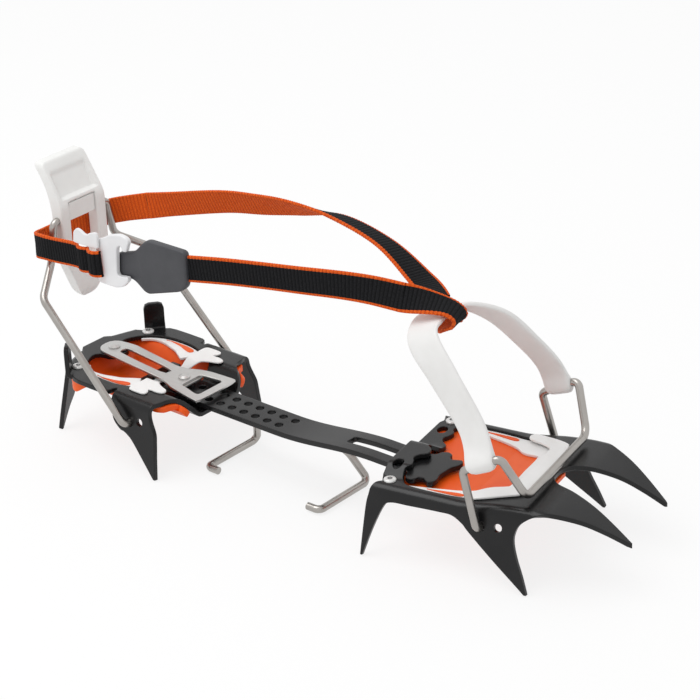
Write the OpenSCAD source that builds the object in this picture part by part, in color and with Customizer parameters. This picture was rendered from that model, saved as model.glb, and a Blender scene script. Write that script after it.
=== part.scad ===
// Semi-automatic crampon: a folded steel heel section and toe section joined by a
// perforated linking bar, with a wire heel bail and lever, a wire toe bail with a
// flexible band, plastic anti-snow plates, a webbing strap and a spare toe bail.
// +X runs from heel to toe, +Z is up, and the points stand on z = 0.

/* [Steel sheet] */
// Thickness of the heel and toe sheet
sheet = 2.6; // [2.2:0.1:3]
// Outer radius of the folds in the sheet
bend_r = 5; // [4:0.5:6]

/* [Heel section] */
// Distance from the heel bail holes to the T joint
bail_to_joint = 161.3; // [150:0.1:180]
// Height of the heel plate's top face
heel_top = 41.5; // [38:0.5:46]
// Half width of the heel section over its side folds
heel_half = 40; // [37:0.5:44]
// Outward lean of the heel side flanges, degrees
heel_splay = 7; // [4:1:10]
// Backward lean of the rear points, degrees
rear_lean = 9; // [5:1:12]
// Height of the rear tabs above the heel plate
tab_rise = 15.5; // [10:0.5:20]
// Half width of the oval opening in the heel plate
heel_open_half = 30; // [26:0.5:31]
// Drop from the heel plate's top face to the bail holes
heel_hole_drop = 13.2; // [12:0.2:15]

/* [Toe section] */
// Height of the toe plate's top face
toe_top = 39; // [36:0.5:42]
// Half width of the toe section over its side folds
toe_half = 43; // [41:0.5:46]
// Outward lean of the toe side flanges, degrees
toe_splay = 10; // [6:1:12]
// Turn of the toe section about the T joint, degrees
toe_yaw = 11.6; // [8:0.2:14]
// Offset of the toe's middle line from the bar's axis
toe_shift = 10.8; // [8:0.2:13]
// Depth of the rear crossbar
cross_depth = 10.7; // [9:0.1:12]
// Radius of the rocker over the front points
rocker_r = 75; // [65:1:90]
// Drop from the toe plate's top face to the bail holes
toe_hole_drop = 9; // [8:0.2:10]

/* [Linking bar] */
// Width of the bar
bar_w = 20.5; // [18:0.5:22]
// Thickness of the bar
bar_t = 3; // [2.5:0.1:3.5]
// Diameter of the setting holes
setting_d = 4.6; // [4:0.1:5]
// Pitch of the setting holes in a row
setting_pitch = 8.45; // [8:0.05:9]
// Width of the T head
t_head_w = 38; // [32:0.5:42]
// Gap round the bar in the channel and the bridge
bar_gap = 0.5; // [0.4:0.05:0.7]

/* [Adjuster] */
// Thickness of the spring tongue
spring_t = 1.5; // [1.2:0.1:2]
// Thickness of the lock plate
lock_t = 1; // [0.8:0.1:1.4]
// Clear height of the pegs over the bar at rest
peg_lift = 0.3; // [0.2:0.05:0.5]

/* [Wires] */
// Diameter of the bail wire
wire_d = 4.2; // [3.8:0.1:4.6]
// Radial running clearance of the wire in its holes
wire_fit = 0.08; // [0.05:0.01:0.1]
// Gap between a flange and the start of a bail leg's foot bend
leg_gap = 0.6; // [0.4:0.1:1.2]

/* [Lever] */
// Width of the heel lever
lever_w = 33.5; // [31:0.5:36]
// Thickness of the heel lever
lever_t = 9; // [8:0.5:10]
// Width of the lever window
window_w = 20; // [17:0.5:21]
// Thickness of the plate in the lever window
insert_t = 2.4; // [2:0.1:3]

/* [Band and strap] */
// Width of the toe band
band_w = 19.5; // [16:0.5:21]
// Thickness of the toe band
band_t = 3; // [2.4:0.1:3.6]
// Width of the webbing
web_w = 15; // [13:0.5:16]
// Thickness of the webbing
web_t = 1.6; // [1.2:0.1:2]
// Thickness of the buckle's hook half
hook_t = 3; // [2.4:0.1:3.4]
// Thickness of the strap end tab
end_tab_t = 4; // [3:0.2:5]

/* [Plastic and rivets] */
// Thickness of the anti-snow mouldings
snow_t = 2.2; // [1.8:0.1:2.6]
// Gap between a moulding and the steel
snow_gap = 0.2; // [0.1:0.05:0.4]
// Diameter of a rivet shank
rivet_d = 3.2; // [2.8:0.1:3.6]
// Diameter of a rivet head
rivet_head_d = 6.6; // [6:0.1:7.4]
// Height of a rivet head
rivet_head_h = 1.4; // [1:0.1:1.8]

/* [Spare bail] */
// Half width of the spare toe bail
spare_half = 40; // [36:0.5:42]
// Length of the spare bail's legs
spare_leg = 40; // [34:0.5:44]
// Height of the spare bail's crossbar over its legs
spare_rise = 20; // [16:0.5:22]

/* [Hidden] */

$fn = 48;
far_off = 400;
eps = 0.01;
// A straight piece laps into its bend by this much, and is thinner by the skin on each side
lap = 0.05;
skin = 0.02;

steel = "#2b2b2e";
bright = "#b9b7b2";
orange = "#f0581e";
white = "#f2f2f0";
grey = "#c9cbd0";
charcoal = "#3a3b40";

// Shift of the whole layout that puts the origin under the middle of the box
centre_x = -49.573;
centre_y = 15.324;

// Places along the bar, measured from the T joint's crossing of the toe line
joint_x = 12;
heel_x = joint_x - bail_to_joint;
bar_end_x = heel_x - 13.7;
bar_flat_x = -60;
bar_high_x = -5;
bar_low_top = heel_top - 6.5;
bar_high_top = toe_top + bar_gap + bar_t;
slot_from = -27;
slot_to = 3;
slot_half = 3;
row_y = 4.2;
peg_x = -0.3;
holes_back = 1;
holes_front = 9;
t_from = joint_x + 8;
t_len = 17;

wire_r = wire_d / 2;
hole_r = wire_r + wire_fit;
rivet_r = rivet_d / 2;
rivet_fit = 0.05;

// Heel plan, heel-local, x = 0 at the bail holes
heel_front = 16;
heel_rear = -67.7;
heel_side_half = heel_half - 0.5;
heel_flat_half = heel_half - bend_r;
rear_a = [heel_rear, 13];
rear_b = [-62.7, 27];
tab_a = [-56.9, 30.2];
tab_b = [-49.5, heel_half - 0.9];
flange_from = -14;
flange_to = 14.6;
open_mid = -27.2;
open_len = 29.5;
open_power = 2.5;
heel_rivet = [-51.4, 27.5];
tongue_r = 8;
spring_rivet_x = -50.7;
heel_free_hole = [7.4, heel_top - 11.1];
heel_hole_z = heel_top - heel_hole_drop;
channel_half = bar_w / 2 + 3.2;
channel_top_half = channel_half + 9.5;
channel_from = 2.5;
channel_to = 28;
channel_floor = bar_low_top - bar_t - bar_gap;
channel_skew = sheet * 0.42;

// Toe plan, toe-local
toe_rear = 6.3;
ramp_x = 54.7;
ramp_deg = 8.4;
ramp_in = 1.2;
arc_x = 79;
apex_x = 90;
arc_z = toe_top + (arc_x - ramp_x) * tan(ramp_deg)
    - sqrt(rocker_r ^ 2 - (apex_x - arc_x) ^ 2);
toe_flat_half = toe_half - bend_r;
toe_cross_to = toe_rear + cross_depth;
toe_rivet = [12, toe_flat_half - 3.2];
toe_hole_x = 66.5;
toe_hole_z = toe_top - toe_hole_drop;
toe_free_hole = [76.1, toe_top - 7.5];
tip_x = 138;
tip_y = 22.5;
tip_flat = 0.8;

bridge_y = -joint_x * sin(toe_yaw) - toe_shift;
bridge_half = bar_w / 2 / cos(toe_yaw) + cross_depth / 2 * tan(toe_yaw) + bar_gap;
bridge_low = bar_high_top + bar_gap + 0.1;
bridge_flare = 1.5;

// Bails: bend radii
tight_bend = 3.2;
foot_bend = 3.2;
wide_bend = 8;
heel_leg_y = face_y(heel_half, heel_top, heel_splay, heel_hole_z) + foot_bend + leg_gap;
toe_leg_y = face_y(toe_half, toe_top, toe_splay, toe_hole_z) + foot_bend + leg_gap;
lever_at = [-69, 0, 92.2];
heel_bail_path = [[0, heel_flat_half + 1, 0], [0, heel_leg_y, 0],
    [-57.7, heel_leg_y - 2, 58.2], [-69, 24, 70.7], [lever_at[0], lever_w / 2 + 3.2, lever_at[2]],
    [lever_at[0], lever_w / 2 - 5.6, lever_at[2]]];
run_rear = [-8, toe_leg_y - 1.4, 30.5];
run_front = [12.5, toe_leg_y - 1.7, 42];
toe_bail_half = [[0, toe_flat_half - 0.5, 0], [0, toe_leg_y, 0], run_rear, run_front,
    [21.7, toe_leg_y - 11.6, 17.6]];
run_dir = (run_front - run_rear) / norm(run_front - run_rear);
run_mid = (run_front + run_rear) / 2;
barrel_len = 16.5;
barrel_wall = 1.9;

// Lever outlines about its pivot: side view x, z and front view y, z
lever_side = [[-lever_t / 2, -44], [-lever_t / 2, 0], [-lever_t / 2 - 3, 14],
    [-15.5, 29], [-9.5, 30.5], [-2.5, 17], [lever_t / 2, 4], [lever_t / 2, -45],
    [lever_t / 2 - 3, -49], [-lever_t / 2 + 2, -48]];
lever_front = [[lever_w / 2 - 1, 31], [lever_w / 2 - 0.6, 20], [lever_w / 2, 6],
    [lever_w / 2, -22], [lever_w / 2 - 4.5, -33], [7, -46], [4, -49]];
window_low = -24;
window_high = 4.6;
insert_low = -4.8;
insert_gap = 0.2;

// Webbing rows: place, then the direction of the width. The wrap lies about the
// heel bail holes and the loop about the toe bail holes.
wrap_rows = [[-28.8, -29, 83.4, 0, 0, 1], [-46, -28.8, 81.4, 0, 0, 1],
    [-60, -28.6, 79.8, 0, 0, 1], [-72, -28.2, 78.2, 0, 0, 1], [-82, -24, 75.7, 0, 0, 1],
    [-86.7, -14, 74.7, 0, 0, 1], [-82.7, -5, 77.2, 0, 0, 1], [-78.7, 4, 80.2, 0, 0, 1],
    [-78.7, 14, 81.7, 0, 0, 1], [-79.7, 22, 82.7, 0, 0, 1], [-75.7, 28, 83.2, 0, 0, 1],
    [-66.7, 32, 84.2, 0, 0, 1], [-53.7, 37.5, 86.5, 0, 0.1, 1]];
loop_rows = [[-56.5, -15, 101.5, 0, 0.45, 0.9], [-42.5, -11.5, 100, 0, 0.85, 0.4],
    [-32.5, -9, 97.8, 0, 1, 0.1], [-27.7, -8, 94.5, 0, 1, 0], [-27.9, -7.5, 91, 0, 1, 0],
    [-32.5, -5, 87, 0.1, 1, 0], [-38.5, 2, 83, 0.1, 1, 0],
    [-45, 10, 84, 0.15, 1, -0.05], [-53.4, 18.5, 88.5, 0.2, 0.97, -0.17]];
// The runs between wrap and loop: share of the way, offsets from the straight line
// in y and z, and the turn of the width from upright, degrees.
near_rows = [[0, 0, 0, 0], [0.18, -0.9, 1.5, 0], [0.37, -1.7, 2.4, 0], [0.55, -2.1, 2.8, 2],
    [0.74, -2.2, 3.2, 6], [0.88, -1.3, 2.3, 14], [1, 0, 0, 26]];
far_rows = [[0, 0, 0, 6], [0.08, 4, 3.6, -9], [0.25, 7.9, 12, -17], [0.37, 9.9, 15.6, -24],
    [0.49, 11, 19.1, -41], [0.62, 14.5, 19.4, -71], [0.77, 16.5, 11.3, -79],
    [0.91, 10.8, 0.4, -95], [1, 0, 0, -80]];
web_steps = 4;
web_gap = 0.3;
end_gap = 0.9;
// Centre line of the toe band about the bail holes, up to its ends on the wire: place,
// direction of the width, and the width as a share of the band's own
band_rows = [[-4.8, -41.2, 52.4, 0.84, -0.17, 0.52, 0.92], [-22.7, -34.7, 72.9, 0.83, -0.2, 0.53, 1],
    [-37.3, -26.8, 86, 0.83, -0.11, 0.54, 1], [-41.5, -15, 90.7, 0.95, 0.03, 0.3, 0.95],
    [-39.5, -2, 91.7, 0.97, -0.05, 0.25, 0.9], [-32, 9.5, 91, 0.93, -0.3, 0.05, 0.9],
    [-19.5, 21, 82.5, 0.8, -0.55, -0.05, 0.92], [-9.5, 33.5, 65, 0.7, -0.65, 0, 0.9],
    [-2, 41, 51, 0.85, -0.3, 0.3, 0.87]];
band_end = 0.85;
band_steps = 4;

// Buckle and tab about the heel bail holes, seen from the near side
buckle_y = -29;
hook_outline = [[-27.6, 72], [-24, 69], [-8, 69], [-5, 73], [-4.5, 97], [-8, 102],
    [-22, 102], [-27.6, 98]];
hook_window = [[-23, 76], [-17.5, 76], [-17.5, 93], [-23, 93]];
hook_slot = [[-12.5, 77], [-9, 77], [-9, 95], [-12.5, 95]];
ladder_bar = [[-26, 76], [-22, 76], [-22, 100], [-26, 100]];
ladder_prong = [15, 2.6];
ladder_prong_z = [90.5, 97];
ladder_t = 1.8;
tab_outline = [[-15.5, 78], [-2, 78.7], [7.5, 72.8], [32, 80.8], [37, 84.7],
    [37.5, 104.6], [9.2, 104.3], [-0.6, 95], [-14.4, 91]];

// Spare bail on the ground under the bar
spare_at = [-75, 2];
spare_stub = 8;
spare_in = 8;
floor_gap = 0.3;

// Places on the plates that take rivets and mouldings
plate_low_heel = heel_top - sheet;
plate_low_toe = toe_top - sheet;
snow_top_heel = plate_low_heel - snow_gap;
snow_top_toe = plate_low_toe - snow_gap;
trough_half = channel_half + 0.5;
trough_floor = channel_floor - sheet - snow_gap;
spring_low_rear = heel_top + 0.1;
spring_low_pin = bar_low_top + peg_lift + 2.1 + lock_t;
spring_low_front = spring_low_pin - 0.9;
peg_r = setting_d / 2 - 0.4;

function unit(v) = v / norm(v);
function pos(row) = [row[0], row[1], row[2]];
function wide(row) = [row[3], row[4], row[5]];
function broad(row) = len(row) > 6 ? row[6] : 1;
// Half outline mirrored in the X axis
function both(half) = concat(half, [for (p = back(half)) [p[0], -p[1]]]);
function back(list) = [for (i = [len(list) - 1 : -1 : 0]) list[i]];
// Half of a section in y and z, mirrored in the Z axis
function pair(half) = concat(half, [for (p = back(half)) [-p[0], p[1]]]);
// Bowed line from a to b, rising to its left by the given height
function bow(a, b, rise, n) = [for (i = [0 : n])
    let (t = i / n, d = b - a) a + d * t + [-d[1], d[0]] / norm(d) * rise * 4 * t * (1 - t)];
function clip(rows, i) = rows[max(0, min(len(rows) - 1, i))];
function between(rows, i, t) =
    let (a = clip(rows, i - 1), b = rows[i], c = rows[i + 1], d = clip(rows, i + 2))
    (2 * b + (c - a) * t + (2 * a - 5 * b + 4 * c - d) * t ^ 2
        + (3 * b - a - 3 * c + d) * t ^ 3) / 2;
function smooth(rows, steps) = concat(
    [for (i = [0 : len(rows) - 2], j = [0 : steps - 1]) between(rows, i, j / steps)],
    [rows[len(rows) - 1]]);
// Height on a leaning flange, measured along it from the end of its fold
function down(h, top, splay) =
    (h - top + bend_r - (bend_r - sheet) * sin(splay)) / cos(splay);
// Outer face of a leaning flange at a height
function face_y(half, top, splay, z) = half - bend_r + bend_r * cos(splay)
    + (top - bend_r + bend_r * sin(splay) - z) * tan(splay);
function power_oval(half_x, half_y, power, n) = [for (i = [0 : n - 1])
    let (a = 360 * i / n, c = cos(a), s = sin(a))
    [half_x * sign(c) * abs(c) ^ (2 / power), half_y * sign(s) * abs(s) ^ (2 / power)]];
function to_layout(p) = let (y = p[1] + toe_shift)
    [p[0] * cos(toe_yaw) - y * sin(toe_yaw), p[0] * sin(toe_yaw) + y * cos(toe_yaw), p[2]];
// Top line of the bar along its length
function bar_top(x) = let (t = max(0, min(1, (x - bar_flat_x) / (bar_high_x - bar_flat_x))))
    bar_low_top + (bar_high_top - bar_low_top) * (1 - cos(180 * t)) / 2;
function toe_line(x, lower) = let (
    ramp_z = toe_top + (min(x, arc_x) - ramp_x) * tan(ramp_deg))
    (x <= ramp_x ? toe_top : ramp_z) - lower;

module in_frame() {
    translate([-centre_x, -centre_y, 0]) children();
}
module at_heel() {
    translate([heel_x, 0, 0]) children();
}
module at_toe() {
    rotate([0, 0, toe_yaw]) translate([0, toe_shift, 0]) children();
}
module at_heel_bail() {
    translate([heel_x, 0, heel_hole_z]) children();
}
module at_toe_bail() {
    at_toe() translate([toe_hole_x, 0, toe_hole_z]) children();
}
module sides() {
    children();
    mirror([0, 1, 0]) children();
}
module slab(low, high) {
    translate([0, 0, low]) linear_extrude(high - low) children();
}
// Outline in x and z, drawn across Y
module across(from_y, to_y) {
    translate([0, to_y, 0]) rotate([90, 0, 0]) linear_extrude(to_y - from_y) children();
}
// Outline in y and z, drawn along X
module along(from_x, to_x) {
    translate([from_x, 0, 0]) rotate([90, 0, 90]) linear_extrude(to_x - from_x) children();
}
module bore_y(at, r) {
    translate([at[0], 0, at[1]]) rotate([90, 0, 0])
        cylinder(r = r, h = far_off, center = true);
}
module above_floor() {
    difference() {
        children();
        translate([-far_off, -far_off, -far_off]) cube([2 * far_off, 2 * far_off, far_off]);
    }
}

// Folded sheet: the quarter bend and the flat blade that hangs from it
module sheet_fold(from_x, to_x, half, top, splay, inset = 0) {
    translate([from_x, half - bend_r, top - bend_r]) rotate([90, 0, 90])
        rotate([0, 0, splay + 8 * inset]) rotate_extrude(angle = 90 - splay - 16 * inset)
            translate([bend_r - sheet + inset, 0]) square([sheet - 2 * inset, to_x - from_x]);
}
module sheet_blade(half, top, splay, outline) {
    translate([0, half - bend_r, top - bend_r]) rotate([splay + 90, 0, 0])
        translate([0, 0, skin - bend_r]) linear_extrude(sheet - 2 * skin) polygon(outline);
}

// Bent wire: straight rods joined by round elbows
module rod(a, b, r) {
    d = b - a;
    translate(a) rotate([0, acos(d[2] / norm(d)), atan2(d[1], d[0])])
        cylinder(r = r, h = norm(d));
}
function turn(a, b, c) = acos(unit(b - a) * unit(c - b));
// Length that a bend takes from its rods, less the lap that joins them
function trim(p, i, bends) = i <= 0 || i >= len(p) - 1 ? 0
    : bends[i] * tan(turn(p[i - 1], p[i], p[i + 1]) / 2) - lap;
module elbow(a, b, c, r, bend) {
    d1 = unit(b - a);
    d2 = unit(c - b);
    start = b - d1 * bend * tan(turn(a, b, c) / 2);
    m = unit(d2 - d1 * (d1 * d2));
    o = start + bend * m;
    z = unit(cross(d1, d2));
    multmatrix([[-m[0], d1[0], z[0], o[0]], [-m[1], d1[1], z[1], o[1]],
        [-m[2], d1[2], z[2], o[2]], [0, 0, 0, 1]])
        rotate_extrude(angle = turn(a, b, c)) translate([bend, 0]) circle(r = r);
}
module wire(p, r, bends) {
    for (i = [0 : len(p) - 2]) {
        d = unit(p[i + 1] - p[i]);
        rod(p[i] + d * trim(p, i, bends), p[i + 1] - d * trim(p, i + 1, bends), r - skin);
    }
    for (i = [1 : len(p) - 2]) elbow(p[i - 1], p[i], p[i + 1], r, bends[i]);
}

// Flat ribbon swept along rows of place and width direction
module ribbon(rows, w, t, steps) {
    path = smooth(rows, steps);
    last = len(path) - 1;
    points = [for (i = [0 : last])
        let (go = unit(pos(clip(path, i + 1)) - pos(clip(path, i - 1))),
            lean = wide(path[i]) - go * (go * wide(path[i])),
            wd = unit(lean), nd = cross(go, wd))
        for (c = [[1, 1], [-1, 1], [-1, -1], [1, -1]])
            pos(path[i]) + wd * c[0] * w * broad(path[i]) / 2 + nd * c[1] * t / 2];
    sides = [for (i = [0 : last - 1], k = [0 : 3])
        let (a = 4 * i + k, b = 4 * i + (k + 1) % 4)
        each [[a, a + 4, b + 4], [a, b + 4, b]]];
    e = 4 * last;
    polyhedron(points = points, convexity = 6, faces = concat([[0, 1, 2], [0, 2, 3]], sides,
        [[e, e + 2, e + 1], [e, e + 3, e + 2]]));
}
module rivet(low, high, foot = true) {
    if (foot)
        translate([0, 0, low - rivet_head_h]) cylinder(d = rivet_head_d, h = rivet_head_h);
    sunk = foot ? eps : 0;
    translate([0, 0, low - sunk]) cylinder(r = rivet_r, h = high - low + sunk + eps);
    translate([0, 0, high]) cylinder(d = rivet_head_d, h = rivet_head_h / 2);
    translate([0, 0, high + rivet_head_h / 2])
        cylinder(d1 = rivet_head_d, d2 = rivet_head_d / 2, h = rivet_head_h / 2);
}
module rivet_hole(at) {
    translate(at) cylinder(r = rivet_r + rivet_fit, h = far_off);
}

// Heel section

rear_run = norm(rear_b - rear_a);
rear_dir = atan2(rear_b[1] - rear_a[1], rear_b[0] - rear_a[0]);
rear_in = bend_r * [sin(rear_dir), -cos(rear_dir)];
rear_tip = 18.5;
heel_plan = [[heel_rear, 10], rear_a + rear_in, rear_b + rear_in, tab_a, tab_b,
    [flange_from - 2.5, heel_side_half], [flange_from - 2.5, heel_flat_half],
    [heel_front, heel_flat_half]];
rear_blade = [[0, heel_top - 8.5], [2, heel_top - 14.5], [5.5, heel_top - 23.5],
    [11.5, heel_top - 30.5], [rear_tip - 1, -sheet], [rear_tip + 0.6, -sheet]];
heel_blade = [[flange_from, 32], [-11.7, 26.4], [-6.9, 22.5], [-4.2, 22], [-1, 20.5],
    [3.4, 17], [18.4, -1], [19.6, -1], [18.9, 20.9], [18.5, 26.5], [flange_to + 0.4, 32.6]];

function hung(outline, from_x, to_x, top, splay) = concat([[from_x + 2 * lap, lap]],
    [for (p = outline) [p[0], down(p[1], top, splay)]], [[to_x - 2 * lap, lap]]);

module heel_opening(inset) {
    translate([open_mid, 0])
        polygon(power_oval(open_len - inset, heel_open_half - inset, open_power, 48));
}
module channel_sheet() {
    h = channel_top_half;
    f = channel_half;
    k = channel_skew;
    along(channel_from, channel_to) polygon([
        [-h - 2, heel_top], [-h, heel_top], [-f, channel_floor], [f, channel_floor],
        [h, heel_top], [h + 2, heel_top], [h + 2, plate_low_heel], [h + k, plate_low_heel],
        [f + k, channel_floor - sheet], [-f - k, channel_floor - sheet],
        [-h - k, plate_low_heel], [-h - 2, plate_low_heel]]);
}
module heel_plate() {
    slab(plate_low_heel, heel_top) difference() {
        polygon(both(heel_plan));
        heel_opening(0);
        translate([open_mid, -channel_top_half])
            square([heel_front - open_mid + 1, 2 * channel_top_half]);
    }
    slab(plate_low_heel, heel_top) {
        translate([spring_rivet_x, 0]) circle(r = tongue_r);
        translate([heel_rear + 2, -tongue_r])
            square([spring_rivet_x - heel_rear - 2, 2 * tongue_r]);
    }
}
module rear_tab() {
    run = norm(tab_b - tab_a);
    r = 3;
    translate(tab_a) rotate([0, 0, atan2(tab_b[1] - tab_a[1], tab_b[0] - tab_a[0])])
        across(-sheet, 0) {
            translate([0, plate_low_heel]) square([run, sheet + tab_rise - r]);
            translate([r, heel_top]) square([run - 2 * r, tab_rise]);
            for (x = [r, run - r]) translate([x, heel_top + tab_rise - r]) circle(r = r);
        }
}
module heel_side() {
    sheet_fold(flange_from, flange_to, heel_half, heel_top, heel_splay);
    sheet_blade(heel_half, heel_top, heel_splay,
        hung(heel_blade, flange_from, flange_to, heel_top, heel_splay));
    translate(rear_a) rotate([0, 0, rear_dir]) {
        sheet_fold(0, rear_run, 0, heel_top, rear_lean);
        sheet_blade(0, heel_top, rear_lean,
            hung(rear_blade, 0, rear_run, heel_top, rear_lean));
    }
    rear_tab();
}
module heel_frame() color(steel) in_frame() at_heel() above_floor() difference() {
    union() {
        heel_plate();
        channel_sheet();
        sides() heel_side();
    }
    bore_y([0, heel_hole_z], hole_r);
    bore_y(heel_free_hole, hole_r);
    sides() rivet_hole([heel_rivet[0], heel_rivet[1], 0]);
    rivet_hole([spring_rivet_x, 0, 0]);
}

// Anti-snow moulding of the heel: wings under the plate, a trough for the bar
wing_to = heel_flat_half - 0.6;
wing_upper = [[wing_to, snow_top_heel], [trough_half, snow_top_heel], [trough_half, trough_floor]];
wing_lower = [[wing_to, snow_top_heel - snow_t], [trough_half + snow_t, snow_top_heel - snow_t],
    [trough_half + snow_t, trough_floor - snow_t]];
belly = [[-6, snow_top_heel - 1], [channel_from - 1.2, snow_top_heel - 1],
    [channel_from - 1.2, snow_top_heel - snow_t - snow_gap],
    [heel_front + 1.5, snow_top_heel - snow_t - snow_gap],
    [heel_front + 3, snow_top_heel - snow_t - 2.5], [heel_front, snow_top_heel - snow_t - 5],
    [-2, snow_top_heel - snow_t - 5]];
belly_from = channel_top_half + 1.5;
heel_bulge = [-46, 25];
bulge_r = 9;
dome_at = [-27, 21];
dome_r = 22;
dome_rise = 2.6;
module heel_snow_plate() color(orange) in_frame() at_heel() difference() {
    union() {
        intersection() {
            along(heel_rear + 8, channel_from - 1)
                polygon(concat(pair(wing_upper), back(pair(wing_lower))));
            slab(0, heel_top) translate([open_mid, 0])
                polygon(power_oval(open_len + 5, wing_to, open_power + 1, 40));
        }
        sides() {
            across(belly_from, wing_to) polygon(belly);
            intersection() {
                translate([heel_bulge[0], heel_bulge[1], snow_top_heel - 1]) sphere(r = bulge_r);
                translate([heel_bulge[0], heel_bulge[1], snow_top_heel - snow_t - 4])
                    cylinder(r = bulge_r, h = snow_t + 3);
            }
        }
        sides() intersection() {
            translate([dome_at[0], dome_at[1], snow_top_heel + dome_rise - dome_r])
                sphere(r = dome_r);
            slab(snow_top_heel - 1, heel_top) intersection() {
                heel_opening(7);
                translate([-far_off, trough_half + 1]) square(2 * far_off);
            }
        }
    }
    sides() {
        rivet_hole([heel_rivet[0], heel_rivet[1], 0]);
        translate([heel_rivet[0], heel_rivet[1], 0])
            cylinder(d = rivet_head_d + 2 * snow_gap, h = snow_top_heel - snow_t);
    }
}

// White crosspiece and side arcs of the heel moulding
arc_gap = 0.4;
arc_from = -48;
arc_run = 44;
module heel_snow_frame() color(white) in_frame() at_heel() {
    sides() slab(snow_top_heel + eps, heel_top - 0.6) intersection() {
        difference() {
            heel_opening(arc_gap);
            heel_opening(6);
        }
        translate([arc_from, trough_half + 2]) square([arc_run, heel_open_half]);
    }
    sides() {
        slab(snow_top_heel - snow_t, snow_top_heel)
            translate([channel_from + 1, channel_top_half + 2.2])
                square([heel_front - channel_from + 2, wing_to - channel_top_half - 3]);
        slab(snow_top_heel - snow_t, heel_top + snow_gap + 1)
            translate([heel_front + snow_gap, channel_top_half + 2.2])
                square([snow_t, wing_to - channel_top_half - 3]);
        slab(heel_top + snow_gap, heel_top + snow_gap + 1)
            translate([heel_front - 6, channel_top_half + 3.5]) square([8, 4.5]);
    }
}
module heel_rivets() color(white) in_frame() at_heel() sides()
    translate([heel_rivet[0], heel_rivet[1], 0]) rivet(snow_top_heel - snow_t, heel_top);

// Adjuster
spring_half = [[-58, 3], [-56, 6.3], [-50.5, 8], [-40, 8.9], [-27, 8.6], [-11, 8.2], [0, 10.4],
    [7, 13], [25, 15.5], [26.8, 14.5], [27.4, 7]];
spring_slot = [-44, -8.5, 2.6];
spring_window = [[7.5, 7], [22, 9.7]];
lock_x = 3;
lock_half = [[-5, 8], [9, 8]];
spring_line = [[-60, spring_low_rear], [-42, spring_low_rear], [-9, spring_low_pin],
    [10, spring_low_pin], [29, spring_low_front]];
module adjuster_spring() color(bright) in_frame() at_heel() difference() {
    intersection() {
        slab(0, far_off) polygon(both(spring_half));
        across(-bar_w, bar_w) polygon(concat(spring_line,
            [for (p = back(spring_line)) p + [0, spring_t]]));
    }
    slab(0, far_off) {
        translate([spring_slot[0], -spring_slot[2]])
            square([spring_slot[1] - spring_slot[0], 2 * spring_slot[2]]);
        polygon(both(spring_window));
    }
    rivet_hole([spring_rivet_x, 0, 0]);
    rivet_hole([lock_x, 0, 0]);
}
module adjuster_rivet() color(bright) in_frame() at_heel() translate([spring_rivet_x, 0, 0])
    rivet(plate_low_heel, spring_low_rear + spring_t);
module lock_plate() color(bright) in_frame() at_heel() difference() {
    union() {
        slab(spring_low_pin - lock_t, spring_low_pin) polygon(both(lock_half));
        for (p = [[peg_x, -row_y], [peg_x + setting_pitch / 2, row_y]])
            translate([p[0], p[1], bar_low_top + peg_lift])
                cylinder(r = peg_r, h = spring_low_pin - lock_t - bar_low_top - peg_lift + eps);
    }
    rivet_hole([lock_x, 0, 0]);
}
module lock_rivet() color(white) in_frame() at_heel() translate([lock_x, 0, 0])
    rivet(spring_low_pin - lock_t, spring_low_pin + spring_t, false);

// Linking bar
t_half = t_head_w / 2;
bar_nose = 9;
t_outline = [[t_from, bar_w / 2], [t_from + 1, t_half - 5], [t_from + 3.5, t_half],
    [t_from + 7.5, t_half - 0.5], [t_from + 8.5, t_half - 5], [t_from + 12, t_half - 5.5],
    [t_from + t_len - 2.5, t_half - 3.5], [t_from + t_len, t_half - 7], [t_from + t_len - 1, 5]];
bar_plan = concat(bow([bar_end_x, 4], [bar_end_x + bar_nose, bar_w / 2], 1.5, 4), t_outline);
bar_xs = concat([bar_end_x - 1], [for (i = [0 : 12]) bar_flat_x + i * (bar_high_x - bar_flat_x) / 12],
    [t_from + t_len + 1]);
module linking_bar() color(steel) in_frame() difference() {
    intersection() {
        slab(0, far_off) polygon(both(bar_plan));
        across(-t_head_w, t_head_w) polygon(concat([for (x = bar_xs) [x, bar_top(x)]],
            [for (x = back(bar_xs)) [x, bar_top(x) - bar_t]]));
    }
    for (k = [-holes_back : holes_front]) {
        x = heel_x + peg_x + k * setting_pitch;
        translate([x, -row_y, 0]) cylinder(d = setting_d, h = far_off);
        translate([x + setting_pitch / 2, row_y, 0]) cylinder(d = setting_d, h = far_off);
    }
    slab(0, far_off) {
        translate([slot_from, -slot_half]) square([slot_to - slot_from, 2 * slot_half]);
        for (x = [slot_from, slot_to]) translate([x, 0]) circle(r = slot_half);
    }
}

// Toe section
toe_open = [[toe_cross_to, toe_flat_half - 8], [20, toe_flat_half - 2], [41, toe_flat_half - 1.8],
    [54, toe_flat_half - 3], [65, toe_flat_half - 5.4], [78, toe_flat_half - 9.5]];
toe_plan = concat([[toe_rear, toe_flat_half - 5], [10, toe_flat_half], [ramp_x, toe_flat_half],
    [84, toe_flat_half - 0.8]],
    bow([86, toe_flat_half + 0.6], [tip_x, tip_y + tip_flat], 2.6, 8),
    bow([tip_x, tip_y - tip_flat], [92, 10], 0.6, 6), [[89.4, 7], [88.2, 3]]);
toe_blade = [[3.3, 30.3], [2.1, -1], [3.4, -1], [7.6, 15.3], [13, 29.8], [14.6, 31.2], [27, 31.8],
    [43, 32.4], [51.8, 32.2], [56.2, 29.3], [60.7, 25.3], [76.2, 12.9], [92, -1], [94, -1],
    [90.5, 9.3], [87.3, 17.5], [85.3, 25.9], [85.8, 30], [87.1, 33.2]];
ramp_len = 31;
ramp_lift = ramp_len * tan(ramp_deg);
ramp_inset = 0.2;
toe_fold_x = 5.9;
oval_hole = [toe_rivet[0], toe_flat_half - 13.5];
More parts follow.
